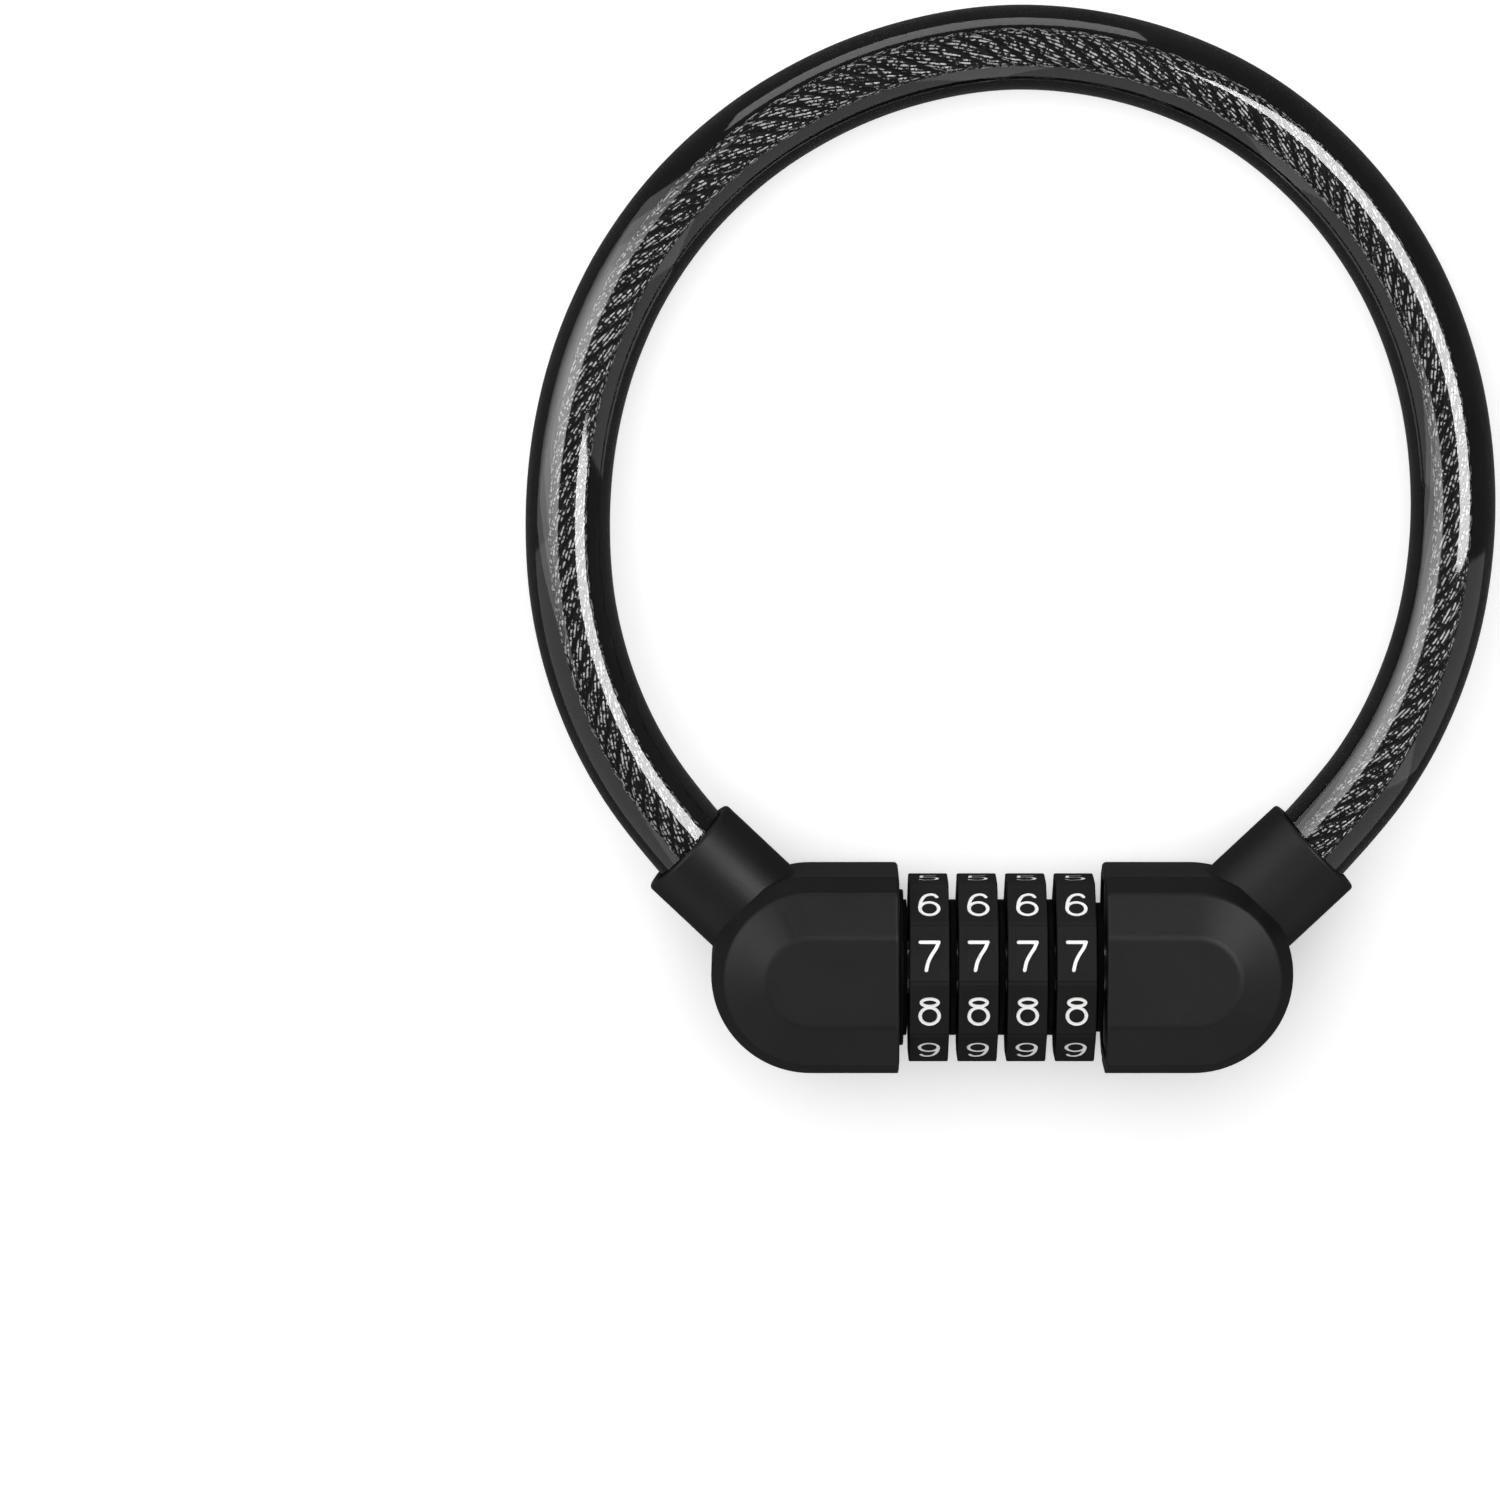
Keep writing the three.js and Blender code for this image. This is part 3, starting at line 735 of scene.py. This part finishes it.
def collar_rod(name, side, profile, sides=72):
    """A solid of revolution on a collar's axis, from (distance, radius) points."""
    verts = []
    for d, r in profile:
        for k in range(sides):
            angle = 2 * math.pi * k / sides
            verts.append((r * math.cos(angle), d, r * math.sin(angle)))
    m = len(profile)
    faces = grid_faces(m, sides)
    faces += [tuple(range(sides)), tuple(range((m - 1) * sides, m * sides))]
    made = new_object(name, verts, faces)
    made.data.transform(collar_frame(side))
    return made


def outer_profile():
    """Half of a head's section, from its seam up over the facets, as (reach, height) points."""
    (r0, z0), (r1, z1), (r2, z2) = HEAD_OUTER
    points = [(r0 - SEAM_IN, SEAM), (r0, SEAM + SEAM_UP), (r0, z0), (r1, z1), (r2, z2), (TOP_REACH, z2)]
    return fillet(points, HEAD_RADII)


def build_shell(side, facing, name, body, stands_for):
    """One half of a head's cover, drawn for the front and turned over for the back."""
    whole = d_solid(name, side, outer_profile(), HEAD_FACE, RIM)
    lip = []
    for t in np.linspace(0, math.pi / 2, LIP_POINTS):
        lip.append((COLLAR_END - LIP + LIP * math.sin(t), COLLAR_RADIUS - LIP + LIP * math.cos(t)))
    collar = collar_rod("collar", side, [(COLLAR_START, COLLAR_RADIUS), *lip])
    boolean(whole, collar, "UNION")
    x0, x1 = sorted((side * (HEAD_FACE + PAD_GAP), side * (HEAD_FACE + PAD_LENGTH)))
    outer = -HEAD_OUTER[0][0] - PAD_PROUD
    inner = -HEAD_CAVITY[0][0] - PAD_OVERLAP
    boolean(whole, block("pad", (x0, outer, -PAD_HALF), (x1, inner, PAD_HALF), PAD_EDGE), "UNION")
    cavity_profile = np.array([(HEAD_CAVITY[0][0], -1.0), *HEAD_CAVITY, (2.0, HEAD_CAVITY[2][1])])
    boolean(whole, d_solid("cavity", side, cavity_profile, HEAD_FACE - 1, 0), "DIFFERENCE")
    bore_profile = [
        (COLLAR_START, COLLAR_BORE),
        (COLLAR_END - MOUTH_DEPTH, COLLAR_BORE),
        (COLLAR_END + 1, COLLAR_BORE + 1 + MOUTH_DEPTH),
    ]
    boolean(whole, collar_rod("bore", side, bore_profile), "DIFFERENCE")
    boolean(whole, block("away", (-AWAY, -AWAY, -AWAY), (AWAY, AWAY, SEAM)), "DIFFERENCE")
    if facing < 0:
        whole.data.transform(Matrix.Diagonal((1, 1, -1, 1)))
        whole.data.flip_normals()
    place(whole, body, "shell_plastic", stands_for)


build_shell(-1, 1, "left_front_cover", "dial_head", "left_front_shell")
build_shell(-1, -1, "left_back_cover", "dial_head", "left_back_shell")
build_shell(1, 1, "right_front_cover", "plug_head", "right_front_shell")
build_shell(1, -1, "right_back_cover", "plug_head", "right_back_shell")

# ---- Number wheels and their numerals ----

GROOVE_HALF, GROOVE_FLOOR_HALF, GROOVE_DEPTH = 0.26, 0.07, 0.2
GROOVE_BROW = [(0.22, 0.0), (0.06, 0.02), (0.0, 0.07)]  # how far beyond the groove's half, how far in
WHEEL_EDGE, WHEEL_EDGE_STEPS = 0.25, 5
SPLINES = 5


def dial_x(i):
    """The middle of a wheel, counted from 1 at the dial head."""
    return (i - (DIALS + 1) / 2) * PITCH


def wheel_outline():
    """Ten flats, with a fine groove where two of them meet."""
    corners = [polar(WHEEL_RADIUS, math.pi / 2 + 2 * math.pi * k / FACETS) for k in range(FACETS)]
    points = []
    for k, corner in enumerate(corners):
        before = corners[k - 1] - corner
        after = corners[(k + 1) % FACETS] - corner
        before /= np.linalg.norm(before)
        after /= np.linalg.norm(after)
        floor = corner * (1 - GROOVE_DEPTH / WHEEL_RADIUS)
        for beyond, inwards in GROOVE_BROW:
            points.append(corner + before * (GROOVE_HALF + beyond) - corner / WHEEL_RADIUS * inwards)
        points.append(floor + before * GROOVE_FLOOR_HALF)
        points.append(floor + after * GROOVE_FLOOR_HALF)
        for beyond, inwards in reversed(GROOVE_BROW):
            points.append(corner + after * (GROOVE_HALF + beyond) - corner / WHEEL_RADIUS * inwards)
    return np.array(points)


def prism(name, rings):
    """A closed body through rings of (x, y, z) points, with flat ends."""
    columns = len(rings[0])
    verts = [p for ring in rings for p in ring]
    faces = grid_faces(len(rings), columns)
    faces += [tuple(range(columns)), tuple(range((len(rings) - 1) * columns, len(rings) * columns))]
    return new_object(name, verts, faces)


def splined_bore(between=8):
    """The outline of the wheel's bore, with the keyways of its code ring."""
    root = math.asin(SPLINE_WIDTH / 2 / WHEEL_BORE)
    tip = math.asin(SPLINE_WIDTH / 2 / (WHEEL_BORE + SPLINE_HEIGHT))
    points = []
    for k in range(SPLINES):
        middle = math.pi / 2 + 2 * math.pi * k / SPLINES
        points += [polar(WHEEL_BORE, middle - root), polar(WHEEL_BORE + SPLINE_HEIGHT, middle - tip)]
        points += [polar(WHEEL_BORE + SPLINE_HEIGHT, middle + tip), polar(WHEEL_BORE, middle + root)]
        span = 2 * math.pi / SPLINES - 2 * root
        points += [polar(WHEEL_BORE, middle + root + span * s / between) for s in range(1, between)]
    return points


def wheel_body():
    """A ten-sided wheel with rounded rims, not yet engraved."""
    outline = wheel_outline()
    half = WHEEL_WIDTH / 2
    rings = []
    for k in range(WHEEL_EDGE_STEPS + 1):
        t = math.pi / 2 * k / WHEEL_EDGE_STEPS
        x = half - WHEEL_EDGE * (1 - math.sin(t))
        inset = WHEEL_EDGE * (1 - math.cos(t))
        rings.append((x, 1 - inset / WHEEL_RADIUS))
    rings = [(-x, s) for x, s in reversed(rings)] + rings
    wheel = prism("wheel", [[(x, y * s, z * s) for y, z in outline] for x, s in rings])
    bore = prism("bore", [[(x, y, z) for y, z in splined_bore()] for x in (-half - 1, half + 1)])
    return boolean(wheel, bore, "DIFFERENCE")


def oval(cx, cy, rx, ry, count=28):
    """A closed line, started at its top."""
    angles = np.radians(90 + np.linspace(0, 360, count + 1))
    return [(cx + rx * math.cos(a), cy + ry * math.sin(a)) for a in angles]


def curve_through(points, count=10):
    """A smooth line through given points."""
    p = np.array(points, float)
    p = np.vstack([2 * p[0] - p[1], p, 2 * p[-1] - p[-2]])
    out = []
    for a, b, c, d in zip(p, p[1:], p[2:], p[3:]):
        for t in np.linspace(0, 1, count, endpoint=False):
            square = (2 * a - 5 * b + 4 * c - d) * t**2
            cube = (3 * b - a - 3 * c + d) * t**3
            out.append(0.5 * (2 * b + (c - a) * t + square + cube))
    return [tuple(x) for x in out] + [tuple(p[-2])]


# The lines of the numerals, 0 to 9, about their own middles.
TWO_NECK = [(-1.15, 1.0), (-0.9, 1.62), (-0.1, 1.93), (0.8, 1.68), (1.12, 1.05), (0.8, 0.3), (-0.25, -0.85)]
THREE_TOP = [(-1.1, 1.35), (-0.6, 1.82), (0.15, 1.93), (0.85, 1.62), (0.95, 0.95), (0.5, 0.4), (-0.3, 0.25)]
THREE_BOWL = [(-0.3, 0.25), (0.55, 0.15), (1.17, -0.4), (1.15, -1.15), (0.65, -1.78), (-0.15, -1.93)]
THREE_END = [(-0.85, -1.7), (-1.22, -1.2)]
FIVE_BOWL = [(-1.0, 0.3), (-0.35, 0.62), (0.45, 0.58), (1.08, 0.1), (1.22, -0.65), (0.95, -1.42)]
FIVE_END = [(0.25, -1.9), (-0.6, -1.83), (-1.2, -1.35)]
SIX_HOOK = [(1.02, 1.5), (0.7, 1.85), (0.08, 1.95), (-0.6, 1.62), (-1.06, 0.8), (-1.26, -0.25), (-1.27, -0.8)]
SEVEN_LEG = [(1.2, 1.88), (0.85, 1.05), (0.3, 0.2), (-0.2, -0.8), (-0.48, -1.95)]
STROKES = {
    0: [oval(0, 0, 1.22, 1.93)],
    1: [[(-0.72, 1.3), (0.1, 1.93), (0.1, -1.93)]],
    2: [curve_through([*TWO_NECK, (-1.2, -1.93)]), [(-1.2, -1.93), (1.22, -1.93)]],
    3: [curve_through(THREE_TOP), curve_through(THREE_BOWL + THREE_END)],
    4: [[(0.62, -1.93), (0.62, 1.93), (-1.25, -0.72), (1.27, -0.72)]],
    5: [[(1.05, 1.93), (-0.85, 1.93), (-1.0, 0.3)], curve_through(FIVE_BOWL + FIVE_END)],
    6: [curve_through(SIX_HOOK), oval(0, -0.74, 1.27, 1.2)],
    7: [[(-1.27, 1.88), (1.2, 1.88)], curve_through(SEVEN_LEG)],
    8: [oval(0, 1.37, 1.14, 0.56), oval(0, -0.66, 1.29, 1.27)],
    9: [[(-x, -y) for x, y in curve_through(SIX_HOOK)], oval(0, 0.74, 1.27, 1.2)],
}
STROKE_HALF = 0.27
DIGIT_SCALE = 1.04
# Sections across a stroke, as (share of its half width, height over the facet)
CUT_SECTION = [(-0.94, -0.22), (-0.94, 0.1), (0.94, 0.1), (0.94, -0.22)]
PAINT_SECTION = [(-1, -0.28), (-1, -0.05), (-0.7, -0.09), (0, -0.1), (0.7, -0.09), (1, -0.05), (1, -0.28)]
DIGIT_DROP = 0.35
FRONT_DIGIT = 7
CAP_ANGLES = (30, 60, 84)
APOTHEM = WHEEL_RADIUS * math.cos(math.pi / FACETS)


def stroke_body(line, section, first=0):
    """A flat line with round ends, as (right, up, out) points and faces."""
    line = np.array(line, float) * DIGIT_SCALE
    closed = np.linalg.norm(line[0] - line[-1]) < 1e-6
    if closed:
        line = line[:-1]
        ahead, behind = np.roll(line, -1, 0), np.roll(line, 1, 0)
    else:
        ahead, behind = np.vstack([line[1:], line[-1:]]), np.vstack([line[:1], line[:-1]])
    along = ahead - behind
    along /= np.linalg.norm(along, axis=1)[:, None]
    across = np.stack([along[:, 1], -along[:, 0]], 1)
    stations = [(p, a, 1.0) for p, a in zip(line, across)]
    if not closed:
        corner = [1 / max(math.cos(0.5 * turn), 0.5) for turn in turns_of(line)]
        stations = [(p, a, c) for p, a, c in zip(line, across, corner)]
        caps = [math.radians(a) for a in CAP_ANGLES]
        before, after = along[0] * STROKE_HALF, along[-1] * STROKE_HALF
        head = [(line[0] - before * math.sin(t), across[0], math.cos(t)) for t in reversed(caps)]
        tail = [(line[-1] + after * math.sin(t), across[-1], math.cos(t)) for t in caps]
        stations = head + stations + tail
    verts = []
    for p, a, width in stations:
        for offset, out in section:
            q = p + a * offset * STROKE_HALF * width
            verts.append((q[0], q[1], out))
    columns = len(section)
    faces = grid_faces(len(stations), columns, round_rows=closed, first=first)
    if not closed:
        last = first + (len(stations) - 1) * columns
        faces += [tuple(range(first, first + columns)), tuple(range(last, last + columns))]
    return verts, faces


def turns_of(line):
    """How sharply an open line turns at each of its points."""
    step = np.diff(line, axis=0)
    heading = np.unwrap(np.arctan2(step[:, 1], step[:, 0]))
    return [0.0, *np.abs(np.diff(heading)), 0.0]


def on_facet(digit, local):
    """Puts a digit's points on its facet of a wheel at the middle of the lock."""
    phi = math.radians(180 / FACETS + (FRONT_DIGIT - digit) * 360 / FACETS)
    out = np.array([0, math.sin(phi), math.cos(phi)])
    up = np.array([0, math.cos(phi), -math.sin(phi)])
    return [np.array([x, 0, 0]) + (y - DIGIT_DROP) * up + (APOTHEM + z) * out for x, y, z in local]


def numerals_mesh():
    """The white filling of all ten digits of one wheel."""
    verts, faces = [], []
    for digit, strokes in STROKES.items():
        for stroke in strokes:
            local, quads = stroke_body(stroke, PAINT_SECTION, len(verts))
            verts += on_facet(digit, local)
            faces += quads
    return new_object("numerals", verts, faces)


def engrave(wheel):
    """Cuts all ten digits into a wheel."""
    for digit, strokes in STROKES.items():
        for stroke in strokes:
            local, quads = stroke_body(stroke, CUT_SECTION)
            boolean(wheel, new_object("cutter", on_facet(digit, local), quads), "DIFFERENCE")


def copy_at(source, name, x):
    """A copy of a piece drawn at the middle of the lock, moved along the dial axis."""
    made = bpy.data.objects.new(name, source.data.copy())
    made.data.transform(Matrix.Translation((x, 0, 0)))
    bpy.context.scene.collection.objects.link(made)
    return made


wheel_master, numerals_master = wheel_body(), numerals_mesh()
engrave(wheel_master)
for number in range(1, DIALS + 1):
    wheel = copy_at(wheel_master, f"number_wheel_{number}_body", dial_x(number))
    place(wheel, f"dial_{number}", "wheel_plastic", f"number_wheel_{number}")
    numerals = copy_at(numerals_master, f"numerals_{number}", dial_x(number))
    place(numerals, f"dial_{number}", "numeral_paint", sharp=50)
for master in (wheel_master, numerals_master):
    bpy.data.objects.remove(master)

# ---- Hubs between the wheels ----

HUB_EDGE, HUB_INNER = 0.12, 1.5
FLANGE_START = [(-14.5, 11.1), (-14.07, 11.1), (-13.95, 10.98)]
FLANGE_END = [(-13.95, 9.75), (-13.87, 9.67), (-13.45, 9.67)]
CLIP_STEPS, CLIP_BORE = [(13.45, 9.2), (14.35, 9.2)], 3.5


def notched_bore(radius, x0, x1):
    """A cutter for the round bore with its square notch, where the pin's teeth pass."""
    opening = math.asin(NOTCH_HALF / radius)
    start, sweep = -math.pi / 2 + opening, 2 * math.pi - 2 * opening
    points = [polar(radius, start + sweep * k / 40) for k in range(41)]
    points += [(-NOTCH_HALF, -NOTCH_DEPTH), (NOTCH_HALF, -NOTCH_DEPTH)]
    return prism("notched_bore", [[(x, y, z) for y, z in points] for x in (x0, x1)])


def disc(name, steps, bore, node):
    """A turned hub from (x, radius) steps, with softened edges and the notched bore."""
    edge, brow = HUB_EDGE, HUB_EDGE * 0.3
    (x0, r0), (x1, r1) = steps[0], steps[-1]
    profile = [(x0, HUB_INNER), (x0, r0 - edge), (x0 + brow, r0 - brow), (x0 + edge, r0)]
    profile += steps[1:-1]
    profile += [(x1 - edge, r1), (x1 - brow, r1 - brow), (x1, r1 - edge), (x1, HUB_INNER)]
    made = lathe(name, profile)
    boolean(made, notched_bore(bore, x0 - 1, x1 + 1), "DIFFERENCE")
    place(made, "dial_head", "hub_plastic", node)


for number in range(1, DIALS):
    middle = dial_x(number) + PITCH / 2
    half = WASHER_THICKNESS / 2
    steps = [(middle - half, WASHER_RADIUS), (middle + half, WASHER_RADIUS)]
    disc(f"spacer_{number}", steps, RUNNING_BORE, f"spacer_washer_{number}")
disc("stepped_flange", FLANGE_START + FLANGE_END, RUNNING_BORE, "barrel_flange")
disc("end_clip", CLIP_STEPS, CLIP_BORE, "retaining_clip")

# ---- Barrel and plug pin ----

BARREL_RADIUS, BARREL_BORE = 3.7, 2.2
BARREL_START, BARREL_END = -24.0, 16.4
SLOT_START, SLOT_HALF = -15.2, 1.3
BARREL_EDGE, MOUTH_FLARE = 0.15, 0.4
CLIP_GROOVE = (13.3, 14.5, 3.3)  # start, end and floor radius
SPRING_BED = (12.9, 1.2, 2.9)  # half length, half width and bottom
PIN_RADIUS, PIN_START, PIN_END = 1.9, -16.2, 24.0
# The tip, as (distance from the start, radius) points
PIN_TIP = [(0, 0.7), (0.08, 1.0), (0.22, 1.25), (0.85, 1.84), (1.0, PIN_RADIUS)]
PIN_EDGE = 0.2
TOOTH_HALF_LENGTH, TOOTH_HALF_WIDTH, TOOTH_REACH, TOOTH_EDGE = 0.6, 1.0, 5.0, 0.16
CROSS_HOLE_X, CROSS_HOLE_RADIUS = 20.0, 1.1
FAR = 30.0


def turned_rod(name, profile, sides=64):
    """A solid rod on the dial axis, through (x, radius) points."""
    circle = [polar(1.0, 2 * math.pi * k / sides) for k in range(sides)]
    return prism(name, [[(x, r * y, r * z) for y, z in circle] for x, r in profile])


def cross_hole(x):
    """A cutter for the hole that a cross pin goes through."""
    hole = turned_rod("hole", [(-6, CROSS_HOLE_RADIUS), (6, CROSS_HOLE_RADIUS)], 32)
    hole.data.transform(Matrix.Translation((x, 0, 0)) @ Matrix.Rotation(math.pi / 2, 4, "Y"))
    return hole


def build_barrel():
    """The slotted tube that the wheels turn on, with a chamfered mouth and a groove for the clip."""
    start, end, floor = CLIP_GROOVE
    r, edge = BARREL_RADIUS, BARREL_EDGE
    profile = [
        (BARREL_START, r - edge),
        (BARREL_START + edge, r),
        (start, r),
        (start, floor),
        (end, floor),
        (end, r),
        (BARREL_END - 2 * edge, r),
        (BARREL_END - 0.6 * edge, r - 0.5 * edge),
        (BARREL_END, r - 2 * edge),
    ]
    barrel = turned_rod("slotted_barrel", profile, 96)
    bore = [
        (BARREL_START - 1, BARREL_BORE),
        (BARREL_END - MOUTH_FLARE, BARREL_BORE),
        (BARREL_END - MOUTH_FLARE + 1, BARREL_BORE + 1),
    ]
    boolean(barrel, turned_rod("bore", bore), "DIFFERENCE")
    slot = block("slot", (SLOT_START, -SLOT_HALF, -FAR), (BARREL_END + 1, SLOT_HALF, 0))
    boolean(barrel, slot, "DIFFERENCE")
    half_length, half_width, bottom = SPRING_BED
    bed = block("bed", (-half_length, -half_width, bottom), (half_length, half_width, FAR))
    boolean(barrel, bed, "DIFFERENCE")
    boolean(barrel, cross_hole(-CROSS_HOLE_X), "DIFFERENCE")
    place(barrel, "dial_head", "lock_steel", "barrel")


def build_plug_pin():
    """The pin with its four teeth and a domed, chamfered tip."""
    profile = [(PIN_START + distance, radius) for distance, radius in PIN_TIP]
    profile += [(PIN_END - PIN_EDGE, PIN_RADIUS), (PIN_END, PIN_RADIUS - PIN_EDGE)]
    pin = turned_rod("toothed_pin", profile)
    for number in range(1, DIALS + 1):
        x = dial_x(number) - PITCH / 2
        low = (x - TOOTH_HALF_LENGTH, -TOOTH_HALF_WIDTH, -TOOTH_REACH)
        high = (x + TOOTH_HALF_LENGTH, TOOTH_HALF_WIDTH, 0)
        boolean(pin, block("tooth", low, high, TOOTH_EDGE), "UNION")
    boolean(pin, cross_hole(CROSS_HOLE_X), "DIFFERENCE")
    place(pin, "plug_head", "lock_steel", "plug_pin")


build_barrel()
build_plug_pin()

# ---- CAD pieces that keep their shape ----

for row in frame["record"]["subparts"]:
    node = frame["nodes"][row["node"]]
    if not node.hide_render:
        for held in node.material_slots:
            held.material = MATERIALS[row["material_slot"]]

# ---- Floor and light ----

# A light's place is in degrees off the camera's axis (polar) and round it from the image's right
# (azimuth), and in metres from the lit centre. All but the overhead one show in reflections only.
# Lengths from here on are metres.
LIT_CENTRE = Vector((0, AXIS_Y + 0.045, AXIS_Z))
# The key's near and far edge, and the azimuths where each of them starts and ends
KEY_POLAR = (17.5, 45)
KEY_START = (-15, -7)
KEY_END = (56, 43)
KEY_RADIANCE = 9.5
FILL_POLAR, FILL_HEIGHT, FILL_RADIANCE = 78, 1.0, 0.5
FILLS = [(-150, 1.0), (-105, 1.0), (-60, 1.0), (-21, 0.53)]  # azimuth and width
# Panels on the left, one over another, so that their reflection fades outwards: near and far edge,
# and height
LEFT_PANELS = [(36, 48, 0.5), (36, 56, 0.68), (36, 64, 0.86), (35, 72, 1.04), (34, 80, 1.22)]
LEFT_AZIMUTH, LEFT_RADIANCE = 165, 0.85
# Panels at the top, one over another in the same way, as shares of the largest one
TOP_SHARES = (1.0, 0.72, 0.45)
TOP_WIDTH, TOP_HEIGHT, TOP_RADIANCE = 1.0, 0.4, 1.5
TOP_POLAR, TOP_AZIMUTH = 72, 100
FLOOR_SIZE, FLOOR_CELLS, FLOOR_LEVEL = 6.0, 12, -0.0002


def towards(polar_degrees, azimuth_degrees):
    """A direction from the lock: so far off the camera's axis, turned from the image's right."""
    t, a = math.radians(polar_degrees), math.radians(azimuth_degrees)
    return math.cos(t) * VIEW + math.sin(t) * (math.cos(a) * RIGHT + math.sin(a) * UP)


def softbox(name, polar_degrees, azimuth_degrees, distance, width, height, radiance, lights_diffuse=False):
    """A flat panel that faces the lock. It either lights the scene or shows in reflections."""
    data = bpy.data.lights.new(name, "AREA")
    data.shape = "RECTANGLE"
    data.size, data.size_y = width, height
    data.energy = radiance * math.pi * width * height
    light = bpy.data.objects.new(name, data)
    bpy.context.scene.collection.objects.link(light)
    back = towards(polar_degrees, azimuth_degrees)
    light.matrix_world = (
        Matrix.Translation(LIT_CENTRE + back * distance)
        @ back.to_track_quat("Z", "Y").to_matrix().to_4x4()
    )
    light.visible_camera = False
    light.visible_diffuse = lights_diffuse
    light.visible_glossy = not lights_diffuse


def build_key():
    """A soft panel bent round the camera's axis, whose reflection is the long strip on the sheath."""
    rows, columns = 8, 24
    verts = []
    for i in range(rows + 1):
        t = i / rows
        off_axis, start, end = (a + t * (b - a) for a, b in (KEY_POLAR, KEY_START, KEY_END))
        for azimuth in np.linspace(start, end, columns + 1):
            verts.append(LIT_CENTRE + towards(off_axis, azimuth))
    panel = new_object("key_panel", verts, grid_faces(rows + 1, columns + 1, round_columns=False))
    n = Nodes("key_panel")
    n.link(Base_Color=(0, 0, 0, 1), Emission_Color=(1, 1, 1, 1), Emission_Strength=KEY_RADIANCE)
    panel.data.materials.append(n.material)
    panel.visible_camera = False
    panel.visible_diffuse = False
    panel.visible_transmission = False
    panel.visible_shadow = False


def build_floor():
    """A pale floor that glows a little, to be as white as the photograph's background."""
    n = Nodes("pale_floor")
    cloud = n.noise(6, 3, 0.5)
    colour = n.ramp(cloud, [(0.3, (0.78, 0.78, 0.78)), (0.7, (0.8, 0.8, 0.8))])
    n.link(Base_Color=colour, Roughness=0.8, Specular_IOR_Level=0.1)
    n.link(Emission_Color=(1, 1, 1, 1), Emission_Strength=0.36)
    count = FLOOR_CELLS + 1
    xs = np.linspace(-FLOOR_SIZE / 2, FLOOR_SIZE / 2, count)
    verts = [(x, y, FLOOR_LEVEL) for x in xs for y in xs]
    floor = new_object("floor", verts, grid_faces(count, count, round_columns=False))
    if floor.data.polygons[0].normal.z < 0:
        floor.data.flip_normals()
    floor.data.materials.append(n.material)
    floor.visible_glossy = False


build_floor()
softbox(
    "overhead",
    polar_degrees=12,
    azimuth_degrees=130,
    distance=1.4,
    width=2.2,
    height=2.2,
    radiance=2.3,
    lights_diffuse=True,
)
build_key()
for azimuth, width in FILLS:
    softbox("front_fill", FILL_POLAR, azimuth, 1.0, width, FILL_HEIGHT, FILL_RADIANCE)
for near, far, height in LEFT_PANELS:
    width = 2 * math.tan(math.radians((far - near) / 2))
    softbox("left_panel", (near + far) / 2, LEFT_AZIMUTH, 1.0, width, height, LEFT_RADIANCE)
for share in TOP_SHARES:
    width, height = TOP_WIDTH * share, TOP_HEIGHT * share
    softbox("top_panel", TOP_POLAR, TOP_AZIMUTH, 1.0, width, height, TOP_RADIANCE)

world = bpy.data.worlds.new("studio")
world.use_nodes = True
background = world.node_tree.nodes["Background"]
background.inputs["Color"].default_value = (0.5, 0.5, 0.5, 1)
background.inputs["Strength"].default_value = 0.2
bpy.context.scene.world = world
bpy.context.scene.view_settings.view_transform = "Standard"
